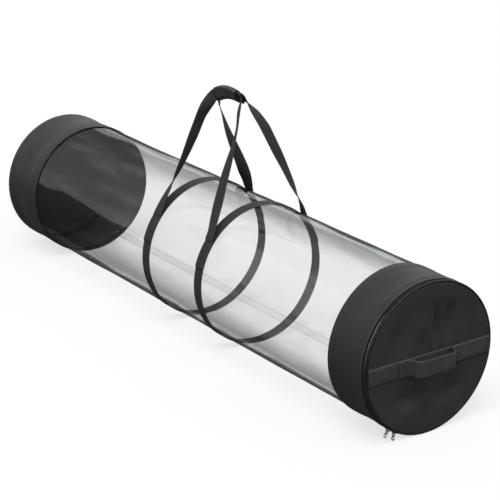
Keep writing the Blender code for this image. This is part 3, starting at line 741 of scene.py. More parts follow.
def turned(name: str, outline: Outline, bend: Bend | None = None, around: int = 240, start: float = 0.0,
           end: float = 360.0, wear: np.ndarray | None = None) -> bpy.types.Object:
    """Ring swept round the bag's axis, pressed flat where the bag stands on the floor.

    Args:
        name: The object's name.
        outline: Closed outline of (place along the bag, radius).
        bend: Moves the ring's points, as in swept.
        around: Steps round.
        start: First angle in degrees.
        end: Last angle in degrees.
        wear: How much lighter each point of the outline is coloured: wear together with a painted highlight on
            folded edges.

    Returns:
        The object.
    """
    closed = end - start >= 360.0
    points, angles = swept(outline, bend, around, start, end)
    points[..., 2] = np.maximum(points[..., 2], 0.0)
    places = np.array(outline)[:, 0]
    across = places - (places.min() + places.max()) / 2
    cloth = np.stack(np.broadcast_arrays(angles * BAG.radius, across), -1)
    cloth = np.concatenate([cloth, cloth[:, :1]], 1)
    return grid(name, points[:-1] if closed else points, cloth, closed, True, not closed, wear)


def disc(name: str, outline: Outline, bend: Bend | None = None, around: int = 192) -> bpy.types.Object:
    """Round panel turned round the bag's axis, its first and last points on the axis.

    Args:
        name: The object's name.
        outline: Outline of (place along the bag, radius), from the axis out and back to it.
        bend: Moves the panel's points, as in swept.
        around: Steps round.

    Returns:
        The object.
    """
    points, _ = swept(outline, bend, around)
    piece = grid(name, points[:-1], points[..., 1:] - (0.0, BAG.axis_z), wrap_rows=True)
    shape = bmesh.new()
    shape.from_mesh(piece.data)
    bmesh.ops.remove_doubles(shape, verts=shape.verts, dist=1e-6)
    as_mesh(shape, piece.data)
    return piece


def ribbon(name: str, left: np.ndarray, right: np.ndarray, columns: int = 7) -> bpy.types.Object:
    """Strip of webbing between two edges, with its thickness and round sides.

    Args:
        name: The object's name.
        left: Points of one edge.
        right: Points of the other edge.
        columns: Points across each face.

    Returns:
        The object.
    """
    across = right - left
    width = np.linalg.norm(across, axis=1, keepdims=True)
    centre = (left + right) / 2
    tangent = np.gradient(centre, axis=0)
    normal = np.cross(tangent, across)
    normal /= np.linalg.norm(normal, axis=1, keepdims=True)
    inset = 0.45 * BAG.webbing / float(width.mean())
    shoulder = 0.5 - inset * 0.25
    half = [(share, 0.5) for share in np.linspace(-0.5 + inset, 0.5 - inset, columns)]
    half += [(shoulder, 0.28), (0.5, 0.0), (shoulder, -0.28)]
    share, level = np.array(half + [(-share, -level) for share, level in half]).T[:, None, :, None]
    points = centre[:, None] + across[:, None] * share + normal[:, None] * level * BAG.webbing
    cloth = np.stack(np.broadcast_arrays(run_along(centre)[:, None], share[..., 0] * width.mean()), -1)
    cloth = np.concatenate([cloth, cloth[:, :1]], 1)
    return grid(name, points, cloth, wrap_columns=True, capped=True)


def thicken(sheet: bpy.types.Object, thickness: float, even: bool) -> None:
    """Gives a sheet a live thickness, half on each side, which an even one also keeps at its corners."""
    wall = sheet.modifiers.new("thickness", "SOLIDIFY")
    wall.thickness = thickness
    wall.offset = 0.0
    wall.use_even_offset = even


def cloth_sheet(name: str, rows: np.ndarray, thickness: float) -> bpy.types.Object:
    """Sheet of cloth through rows of points.

    Args:
        name: The object's name.
        rows: Points by row and column.
        thickness: Its thickness.

    Returns:
        The object.
    """
    run, width = run_along(rows.mean(1)), run_along(rows[0])
    cloth = np.stack(np.broadcast_arrays(run[:, None], width[None] - width[-1] / 2), -1)
    piece = grid(name, rows, cloth)
    thicken(piece, thickness, True)
    return piece


def wire(name: str, points: np.ndarray, radius: float | np.ndarray, flat: Vector,
         sides: int = 12) -> bpy.types.Object:
    """Closed ring of round wire in one plane.

    Args:
        name: The object's name.
        points: Its middle line.
        radius: The wire's radius, or the radius at each point.
        flat: Normal of the ring's plane.
        sides: Sides of the wire.

    Returns:
        The object.
    """
    tangent = np.roll(points, -1, 0) - np.roll(points, 1, 0)
    tangent /= np.linalg.norm(tangent, axis=1, keepdims=True)
    up = np.array(flat.normalized())
    out = np.cross(tangent, up)
    turn = np.linspace(0, 2 * math.pi, sides, endpoint=False)[None, :, None]
    skin = points[:, None] + radius * (np.cos(turn) * out[:, None] + np.sin(turn) * up)
    cloth = np.zeros((len(points) + 1, sides + 1, 2))
    return grid(name, skin, cloth, True, True)


def coat(piece: bpy.types.Object, look: Look) -> None:
    """Gives a piece its finish."""
    piece.data.materials.clear()
    piece.data.materials.append(look.value.material())


def dress(piece: bpy.types.Object, look: Look, body: str, slot: str, *nodes: str) -> None:
    """Gives a piece its finish and its body, in place of CAD nodes.

    Args:
        piece: The piece.
        look: Its finish.
        body: The body that it moves with.
        slot: The material slot of the record that it stands for; not used.
        nodes: CAD nodes that it replaces.
    """
    coat(piece, look)
    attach(piece, body)
    if nodes:
        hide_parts(*nodes)
    LOG.info("%s: %d faces on %s", piece.name, len(piece.data.polygons), body)


# Rows by Geometry Nodes


class Row(Enum):
    """What stands in a row along a line."""

    STITCH = "stitch_row"
    TOOTH = "tooth_row"


@dataclass
class RowMaker:
    """Geometry Nodes that set a small rounded shape along lines, such as stitches or zip teeth."""

    kind: Row
    pitch: float
    size: tuple[float, float, float]
    look: Look
    lines: list[tuple[np.ndarray, bool]] = field(default_factory=list)

    def add(self, line: np.ndarray | Iterable[Vector], closed: bool = False) -> None:
        """Adds a line.

        Args:
            line: Its points.
            closed: Whether it ends where it starts.
        """
        self.lines.append((np.array([tuple(p) for p in line], float), closed))

    def tree(self) -> bpy.types.NodeTree:
        """Builds the node tree, with inputs for the pitch, the shape's size and its finish."""
        tree = bpy.data.node_groups.new(self.kind.value, "GeometryNodeTree")
        kinds = {"Geometry": "Geometry", "Pitch": "Float", "Size": "Vector", "Finish": "Material"}
        for name, kind in kinds.items():
            tree.interface.new_socket(name, in_out="INPUT", socket_type=f"NodeSocket{kind}")
        tree.interface.new_socket("Geometry", in_out="OUTPUT", socket_type="NodeSocketGeometry")

        def add(kind: str, settings: dict[str, object] | None = None, **inputs: object) -> bpy.types.Node:
            """Adds a node, with its settings and with values or links for its inputs."""
            node = tree.nodes.new(kind)
            for key, value in (settings or {}).items():
                setattr(node, key, value)
            for key, value in inputs.items():
                entry = node.inputs[key.replace("_", " ")]
                if isinstance(value, bpy.types.NodeSocket):
                    tree.links.new(value, entry)
                else:
                    entry.default_value = value
            return node

        source = add("NodeGroupInput").outputs
        curve = add("GeometryNodeMeshToCurve", Mesh=source["Geometry"]).outputs["Curve"]
        spread = add("GeometryNodeResampleCurve", {"mode": "LENGTH"}, Curve=curve, Length=source["Pitch"])
        tangent = add("GeometryNodeInputTangent").outputs["Tangent"]
        turn = add("FunctionNodeAlignRotationToVector", {"axis": "Z"}, Vector=tangent)
        if self.kind is Row.TOOTH:
            block = add("GeometryNodeMeshCube", Size=(1.0, 1.0, 1.0)).outputs["Mesh"]
            shape = add("GeometryNodeSubdivisionSurface", Mesh=block, Edge_Crease=0.55)
            turn = add("FunctionNodeAlignRotationToVector", {"axis": "X", "pivot_axis": "Z"},
                       Rotation=turn.outputs["Rotation"], Vector=(1.0, 0.0, 0.0))
        else:
            shape = add("GeometryNodeMeshUVSphere", Segments=6, Rings=4, Radius=0.5)
        seated = add("GeometryNodeInstanceOnPoints", Points=spread.outputs["Curve"],
                     Instance=shape.outputs["Mesh"], Rotation=turn.outputs["Rotation"], Scale=source["Size"])
        solid = add("GeometryNodeRealizeInstances", Geometry=seated.outputs["Instances"]).outputs["Geometry"]
        smooth = add("GeometryNodeSetShadeSmooth", Geometry=solid).outputs["Geometry"]
        coated = add("GeometryNodeSetMaterial", Geometry=smooth, Material=source["Finish"])
        add("NodeGroupOutput", Geometry=coated.outputs["Geometry"])
        return tree

    def make(self, name: str) -> bpy.types.Object:
        """Makes the rows along all the lines.

        Args:
            name: The object's name.

        Returns:
            A plain mesh object.
        """
        shape = bmesh.new()
        for line, closed in self.lines:
            verts = [shape.verts.new(p) for p in line.tolist()]
            for a, b in zip(verts, verts[1:] + (verts[:1] if closed else [])):
                shape.edges.new((a, b))
        host = as_object(name + "_lines", shape)
        rows = host.modifiers.new(self.kind.value, "NODES")
        rows.node_group = self.tree()
        ids = {s.name: s.identifier for s in rows.node_group.interface.items_tree if s.in_out == "INPUT"}
        rows[ids["Pitch"]] = self.pitch
        rows[ids["Size"]] = self.size
        rows[ids["Finish"]] = self.look.value.material()
        graph = bpy.context.evaluated_depsgraph_get()
        mesh = bpy.data.meshes.new_from_object(host.evaluated_get(graph), depsgraph=graph)
        bpy.data.objects.remove(host)
        mesh.name = name
        return linked(name, mesh)


def stitches(pitch: float = 0.0031, length: float = 0.0025, thread: float = 0.0007) -> RowMaker:
    """Row maker for sewing.

    Args:
        pitch: Distance between stitches.
        length: Length of one.
        thread: Thickness of the thread.

    Returns:
        The row maker.
    """
    return RowMaker(Row.STITCH, pitch, (thread, thread, length), Look.THREAD)


def crossed_box(low: tuple[float, float], high: tuple[float, float], count: int) -> list[np.ndarray]:
    """Seams of a sewn box with a cross in it.

    Args:
        low: One corner, in any two measures.
        high: The opposite corner.
        count: Points on each seam.

    Returns:
        The points of the four sides and the two diagonals.
    """
    corners = np.array(box(low[0], high[0], low[1], high[1]))
    shares = np.linspace(0, 1, count)[:, None]
    pairs = ((0, 1), (1, 2), (2, 3), (3, 0), (0, 2), (1, 3))
    return [corners[a] + (corners[b] - corners[a]) * shares for a, b in pairs]


def circle(x: float, radius: float, count: int = 180) -> list[Vector]:
    """Points of a circle round the bag's axis, kept just above the floor."""
    points = [ring_point(x, radius, 360.0 * i / count) for i in range(count)]
    return [Vector((p.x, p.y, max(p.z, 0.0001))) for p in points]


# Sub-assemblies


@dataclass
class FilmTube:
    """Clear film rolled once round and welded along a lap, with soft ripples between what holds it."""

    start: float = -0.4385
    end: float = 0.4315
    film: float = 0.0005
    lap_width: float = 0.012
    ramp_width: float = 0.012
    lap_angle: float = 146.0
    ripple: float = 0.0007
    bulge: float = 0.0007
    hem_hold: float = 0.022
    hem_release: float = 0.045
    band_release: float = 0.035
    around: int = 216
    along: int = 130

    def freedom(self, x: np.ndarray) -> np.ndarray:
        """How free the film is at a place, from 0 where a hem or a band holds it to 1."""
        inside = np.minimum(x - self.start, self.end - x) - self.hem_hold
        free = smoothed(inside / self.hem_release)
        for band in (BAG.far_band_x, BAG.near_band_x):
            free = free * smoothed((np.abs(x - band) - BAG.band_width / 2) / self.band_release)
        return free

    def build(self) -> None:
        """Makes the tube."""
        lap = self.lap_width / BAG.film_outer
        ramp = self.ramp_width / BAG.film_outer
        turns = np.concatenate([np.linspace(0, lap + ramp, 12, endpoint=False),
                                np.linspace(lap + ramp, 2 * math.pi, self.around - 12, endpoint=False),
                                np.linspace(2 * math.pi, 2 * math.pi + lap, 5)])[None]
        x = np.linspace(self.start, self.end, self.along + 1)[:, None]
        climb = smoothed((turns - lap) / ramp)
        radius = BAG.film_outer - self.film / 2 - (self.film + BAG.gap) * (1 - climb)
        angle = math.radians(self.lap_angle) + turns
        waves = (np.sin(9 * angle + 23 * x + 0.6) + 0.8 * np.sin(14 * angle - 31 * x + 2.1)
                 + 0.7 * np.sin(5 * angle + 47 * x + 4.0) + 0.5 * np.sin(23 * angle + 12 * x + 1.0)) / 3.0
        off_floor = 1 - smoothed((-np.cos(angle) - 0.93) / 0.05)
        radius = radius + self.freedom(x) * (self.bulge + self.ripple * (waves - 1.0)) * off_floor
        places = (x, radius * np.sin(angle), BAG.axis_z + radius * np.cos(angle))
        points = np.stack(np.broadcast_arrays(*places), -1)
        cloth = np.stack(np.broadcast_arrays(x, angle * BAG.radius), -1)
        tube = grid("film_tube", points, cloth)
        thicken(tube, self.film, False)
        dress(tube, Look.FILM, "bag", "film", "clear_body")


@dataclass
class Sleeve:
    """Fabric sleeve over an end of the film, with folded and stitched hems and soft dents in its wall.

    A dent is the angle of its middle and half its width in degrees, the distance of its middle from the
    sleeve's edge on the film and half its length, and its depth.
    """

    name: str
    node: str
    hem_x: float
    rim_x: float
    dents: tuple[Dent, ...]
    film_hem: float = 0.018
    rim_hem: float = 0.009
    film_release: float = 0.012
    rim_release: float = 0.010
    sag: float = 0.00022
    puff: float = 0.00035
    seam_half: float = 0.0022
    film_seam: float = 0.0003
    rim_seam: float = 0.00035
    fold: float = 0.00065
    side: float = 0.0026
    around: int = 224

    @property
    def way(self) -> int:
        """1 where the rim lies at the higher X, -1 where it lies at the lower."""
        return 1 if self.rim_x > self.hem_x else -1

    def bend(self, x: np.ndarray, radius: np.ndarray, angle: np.ndarray) -> Pair:
        """Dents the wall between the hems, puffs the film's hem and draws the cloth in at the seams.

        Args:
            x: Places along the bag.
            radius: Radii.
            angle: Angles in radians.

        Returns:
            The places and radii after it.
        """
        along = (x - self.hem_x) * self.way
        length = abs(self.rim_x - self.hem_x)
        free = (smoothed((along - self.film_hem) / self.film_release)
                * smoothed((length - self.rim_hem - along) / self.rim_release))
        depth = self.sag * (2.0 + np.sin(3 * angle + 60 * x) + np.sin(7 * angle - 45 * x + 1.3))
        for centre, half, place, reach, deep in self.dents:
            depth = depth + deep * hump(turn_gap(angle, centre), 0.0, half) * hump(along, place, reach)
        puff = self.puff * hump(along, self.film_hem / 2, self.film_hem / 2)
        seams = (self.film_seam * hump(along, self.film_hem, self.seam_half)
                 + self.rim_seam * hump(along, length - self.rim_hem + 0.001, self.seam_half))
        outside = radius > BAG.radius - 0.5 * BAG.fabric
        return x, radius - depth * free + outside * (puff - seams)

    def build(self, sewing: RowMaker) -> None:
        """Makes the sleeve and adds its seams to the sewing."""
        way, wall, inner = self.way, BAG.radius - BAG.fabric, BAG.hem_inner
        film_hem, rim_hem = self.hem_x + way * self.film_hem, self.rim_x - way * self.rim_hem
        outline = [(self.hem_x, BAG.radius), (self.rim_x, BAG.radius), (self.rim_x, inner), (rim_hem, inner),
                   (rim_hem, wall), (film_hem, wall), (film_hem, inner), (self.hem_x, inner)]
        outline = spaced(rounded(outline, self.fold), self.side)
        places = np.array(outline)
        along = (places[:, 0] - self.hem_x) * way
        length = abs(self.rim_x - self.hem_x)
        # Lighter colour at the hems' folded edges and the seams, most at the rim's fold by the zip: wear
        # together with a painted highlight on the folds.
        rubbed = sum(share * hump(along, place, reach) for share, place, reach in (
            (0.30, 0.0, 0.0035), (0.55, length - 0.0010, 0.0035), (0.10, self.film_hem, 0.004),
            (0.10, length - self.rim_hem, 0.003)))
        sleeve = turned(self.name, outline, self.bend, self.around, wear=rubbed * (places[:, 1] > wall))
        for x, lift in ((self.hem_x + way * 0.0025, BAG.thread_lift),
                        (film_hem - way * 0.0015, BAG.thread_lift),
                        (rim_hem + way * 0.0018, BAG.thread_lift / 2)):
            sewing.add(circle(x, BAG.radius + lift), True)
        dress(sleeve, Look.SLEEVE, "bag", "sleeve_fabric", self.node)


@dataclass
class EndPanel:
    """Round end panel of fabric, its edge folded in, softly dented.

    A crease is its middle and half its reach across the panel, the same two up the panel, and its depth.
    """

    name: str
    node: str
    face_x: float
    inward: int
    look: Look
    slot: str
    body: str
    creases: tuple[Dent, ...]
    hem: float = 0.010
    sag: float = 0.0012
    release: float = 0.030
    fold: float = 0.0005
    side: float = 0.0028
    seam_inset: float = 0.0025

    def bend(self, x: np.ndarray, radius: np.ndarray, angle: np.ndarray) -> Pair:
        """Dents the panel inwards, away from its rim.

        Args:
            x: Places along the bag.
            radius: Radii.
            angle: Angles in radians.

        Returns:
            The places and radii after it.
        """
        y, z = radius * np.sin(angle), radius * np.cos(angle)
        free = smoothed((BAG.panel_radius - self.hem - radius) / self.release)
        depth = 0.5 * self.sag * (1.0 + 0.6 * np.sin(38 * y + 21 * z) + 0.4 * np.sin(70 * z - 44 * y + 1.0))
        for centre_y, half_y, centre_z, half_z, deep in self.creases:
            depth = depth + deep * hump(y, centre_y, half_y) * hump(z, centre_z, half_z)
        return x + self.inward * depth * free, radius

    def build(self, sewing: RowMaker) -> None:
        """Makes the panel and adds its seam to the sewing."""
        front, back, folded = (self.face_x + self.inward * layer * BAG.fabric for layer in range(3))
        rim, edge = BAG.panel_radius, BAG.panel_radius - self.hem
        outline = [(front, 0.0), (front, rim), (folded, rim), (folded, edge), (back, edge), (back, 0.0)]
        outline = rounded(outline, self.fold, closed=False)
        panel = disc(self.name, spaced(outline, self.side, False), self.bend)
        sewing.add(circle(front - self.inward * BAG.thread_lift, rim - self.seam_inset), True)
        dress(panel, self.look, self.body, self.slot, self.node)


@dataclass
class Bead:
    """Round piping sewn along the corner between a sleeve or tape and an end panel."""

    name: str
    node: str
    face_x: float
    inward: int
    body: str
    sides: int = 14

    def build(self) -> None:
        """Makes the piping."""
        x = self.face_x + self.inward * BAG.piping
        radius = BAG.radius - BAG.piping
        turns = [2 * math.pi * i / self.sides for i in range(self.sides)]
        outline = [(x + BAG.piping * math.cos(t), radius + BAG.piping * math.sin(t)) for t in turns]
        dress(turned(self.name, outline), Look.PIPING, self.body, "piping", self.node)


@dataclass
class Binding:
    """Folded tape sewn over the raw edges inside an end's seam.

    Its corners are points of (depth from the end's face, radius).
    """

    name: str
    face_x: float
    inward: int
    body: str
    corners: tuple[tuple[float, float], ...]

    def build(self) -> None:
        """Makes the binding."""
        places = [(self.face_x + self.inward * depth, radius) for depth, radius in self.corners]
        dress(turned(self.name, rounded(places, 0.0005, 2)), Look.TAPE, self.body, "zip_tape")


@dataclass
class Zip:
    """Zip between the sleeve and the cap: tapes, two rows of teeth, the fabric hinge and the end stops."""

    under_hem: float = 0.012
    tape: float = 0.0006
    pitch: float = 0.0030
    tooth_reach: float = 0.0010
    tooth_share: float = 0.47
    tooth_gap: float = 0.0002
    thickness: float = 0.0024
    cord_width: float = 0.0010
    cord_half: float = 0.0006
    hinge_half: float = 14.0
    hinge_reach: float = 11.0
    meeting_half: float = 2.6

    def tape_ring(self, name: str, low: float, high: float, body: str, node: str) -> None:
        """Makes one tape between two places along the bag.

        Args:
            name: The piece's name.
            low: One edge.
            high: The other edge.
            body: The body that it moves with.
            node: The CAD node that it replaces.
        """
        outline = box(low, high, BAG.tape_outer, BAG.tape_outer - self.tape)
        dress(turned(name, spaced(rounded(outline, 0.0002, 2), 0.004)), Look.TAPE, body, "zip_tape", node)

    def teeth(self, name: str, side: int, arcs: Sequence[tuple[float, float]], body: str,
              *nodes: str) -> None:
        """Makes a row of teeth on its cord.

        Args:
            name: The piece's name.
            side: -1 on the bag and 1 on the cap.
            arcs: Start and end angles of its stretches.
            body: The body that it moves with.
            nodes: CAD nodes that it replaces.
        """
        width = BAG.chain_half + self.tooth_reach
        x = BAG.chain_x + side * (BAG.chain_half - width / 2)
        size = (width, self.thickness, self.tooth_share * self.pitch)
        row = RowMaker(Row.TOOTH, self.pitch, size, Look.TEETH)
        step = math.degrees(self.pitch / BAG.tape_middle)
        first = BAG.hinge_angle + 180.0 + step * (0.25 * side)
        edge = BAG.chain_x + side * BAG.chain_half
        outline = rounded(box(edge, edge - side * self.cord_width, BAG.tape_middle + self.cord_half,
                                BAG.tape_middle - self.cord_half), 0.0004, 2)
        for i, (start, end) in enumerate(arcs, 1):
            angles = [first + step * k for k in range(math.ceil((start - first) / step),
                                                      math.floor((end - first) / step) + 1)]
            places = np.arange(angles[0], angles[-1] + step / 2, step / 4)
            row.add([ring_point(x, BAG.tape_middle, place) for place in places])
            cord = turned(f"{name}_cord_{i}", outline, None, 220, start, end)
            dress(cord, Look.TAPE, body, "zip_teeth")
        dress(row.make(name), Look.TEETH, body, "zip_teeth", *nodes)

    def hinge(self, name: str, low: float, high: float, body: str, node: str) -> None:
        """Makes one half of the fabric hinge over the zip.

        Args:
            name: The piece's name.
            low: One edge along the bag.
            high: The other edge.
            body: The body that it moves with.
            node: The CAD node that it replaces.
        """
        bottom = BAG.tape_outer + BAG.gap
        outline = rounded(box(low, high, bottom, bottom + BAG.fabric), 0.00025, 2)
        half = turned(name, outline, None, 24, BAG.hinge_angle - self.hinge_reach,
                      BAG.hinge_angle + self.hinge_reach)
        dress(half, Look.CAP, body, "cap_fabric", node)

    def build(self) -> None:
        """Makes the whole zip."""
        low, middle, high = BAG.sleeve_rim, BAG.chain_x, BAG.cap_x - 2 * BAG.piping - BAG.gap
        clear = self.tooth_reach + self.tooth_gap
        self.tape_ring("sleeve_zip_tape", low - self.under_hem, middle - clear, "bag", "body_tape")
        self.tape_ring("cap_zip_tape", middle + clear, high, "cap", "cap_tape")
        start = BAG.hinge_angle + self.hinge_half
        end = BAG.hinge_angle + 360.0 - self.hinge_half
        meeting = BAG.hinge_angle + 180.0
        arcs = [(start, meeting - self.meeting_half), (meeting + self.meeting_half, end)]
        self.teeth("sleeve_zip_teeth", -1, [(start, end)], "bag", "body_teeth")
        self.teeth("cap_zip_teeth", 1, arcs, "cap", "cap_teeth_back", "cap_teeth_front")
        self.hinge("hinge_on_sleeve", low + BAG.gap, middle - BAG.gap / 2, "bag", "hinge_strip_body")
        self.hinge("hinge_on_cap", middle + BAG.gap / 2, high, "cap", "hinge_strip_cap")
        for node in ("slider_1", "slider_2", "end_stop_front", "end_stop_back"):
            coat(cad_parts[node], Look.ENAMEL)


@dataclass
class Pull:
    """Zip pull: an enamelled eye round the slider's bow, and a bright grip ring below it."""

    name: str
    body: str
    way: int
    lean: float
    spacing: float = 0.0132
    axis_radius: float = 0.11655
    radius: float = 0.00055
    length: float = 0.0118
    eye_width: float = 0.0050
    eye_length: float = 0.00535
    ring_width: float = 0.0062
    thickening: float = 0.6
    thickening_length: float = 0.0035

    def build(self) -> None:
        """Makes the eye, its wire thicker towards the ring, and the ring."""
        angle = BAG.hinge_angle + 180.0 + self.way * math.degrees(self.spacing / 2 / BAG.tape_middle)
        place = ring_frame(BAG.chain_x, self.axis_radius, angle)
        place = place @ Matrix.Rotation(math.radians(self.lean), 4, "X")
        half = self.eye_width / 2 - self.radius
        eye = rounded(box(half, -half, 0.0, self.eye_length), 0.6 * half, 6)
        self.loop(f"{self.name}_eye", eye, place, Look.ENAMEL, self.name)
        half = self.ring_width / 2 - self.radius
        middle = self.length - 2 * self.radius - half
        turns = [2 * math.pi * i / 32 for i in range(32)]
        ring = [(half * math.sin(turn), middle + half * math.cos(turn)) for turn in turns]
        self.loop(f"{self.name}_ring", ring, place, Look.METAL)

    def loop(self, name: str, line: Outline, place: Matrix, look: Look, *nodes: str) -> None:
        """Makes a closed loop of wire.

        Args:
            name: The piece's name.
            line: Middle line, as (across, down).
            place: Frame of the pull.
            look: Its finish.
            nodes: CAD nodes that it replaces.
        """
        flat = place.to_3x3() @ Vector((0.0, 1.0, 0.0))
        radii = np.array([self.radius * (1 + self.thickening * smoothed(down / self.thickening_length))
                          for _, down in line])
        places = [(across * (1 - (radius - self.radius) / abs(across)) if across else 0.0, down)
                  for (across, down), radius in zip(line, radii)]
        points = np.array([tuple(place @ Vector((across, 0.0, down))) for across, down in places])
        dress(wire(name, points, radii[:, None, None], flat), look, self.body, "pull_metal", *nodes)


@dataclass
class Bands:
    """Two webbing bands round the film, and the handles' ends sewn on them."""

    sewn_length: float = 0.045
    base_angle: float = 52.0
    seam_inset: float = 0.0022
    seam_turn: float = 1.4
    fold: float = 0.0005
    side: float = 0.0034

    def band(self, name: str, node: str, x: float) -> None:
        """Makes a band.

        Args:
            name: The piece's name.
            node: The CAD node that it replaces.
            x: Its middle along the bag.
        """
        half = BAG.band_width / 2
        outline = box(x - half, x + half, BAG.band_outer, BAG.band_inner)

        def bend(place: np.ndarray, radius: np.ndarray, angle: np.ndarray) -> Pair:
            """Lets the band wander a little along the bag, but not under the handles' ends."""
            drift = 0.0006 * np.sin(2 * angle + 40 * x) + 0.0003 * np.sin(5 * angle + 9 * x)
            calm = smoothed(1 - np.abs(np.abs(turn_gap(angle, 0.0)) - 64.0) / 50.0)
            return place + drift * (1 - calm), radius

        ring = turned(name, spaced(rounded(outline, self.fold), self.side), bend, 256)
        dress(ring, Look.BAND, "bag", "webbing", node)

    def sewn_end(self, name: str, node: str, x: float, side: int, sewing: RowMaker) -> None:
        """Makes a handle's sewn end, with a stitched box and a cross on it.

        Args:
            name: The piece's name.
            node: The CAD node that it replaces.
            x: Its middle along the bag.
            side: -1 at the front and 1 at the back.
            sewing: Takes its stitches.
        """
        half = BAG.band_width / 2
        inner = BAG.band_outer + BAG.gap
        top = inner + BAG.webbing
        low = self.base_angle
        high = self.base_angle + math.degrees(self.sewn_length / BAG.band_outer)
        start, end = (low, high) if side > 0 else (-high, -low)
        outline = spaced(rounded(box(x - half, x + half, inner, top), self.fold), self.side)
        dress(turned(name, outline, None, 28, start, end), Look.BAND, "bag", "webbing", node)
        edge = half - self.seam_inset
        for line in crossed_box((x - edge, start + self.seam_turn), (x + edge, end - self.seam_turn), 12):
            sewing.add([ring_point(place, top + BAG.thread_lift, angle) for place, angle in line])

    def build(self, sewing: RowMaker) -> None:
        """Makes the bands and the sewn ends."""
        self.band("far_webbing_band", "far_band", BAG.far_band_x)
        self.band("near_webbing_band", "near_band", BAG.near_band_x)
        for part, side in (("front", -1), ("back", 1)):
            for end, x in (("far", BAG.far_band_x), ("near", BAG.near_band_x)):
                self.sewn_end(f"{part}_{end}_end_sewn", f"{part}_{end}_sewn_end", x, side, sewing)


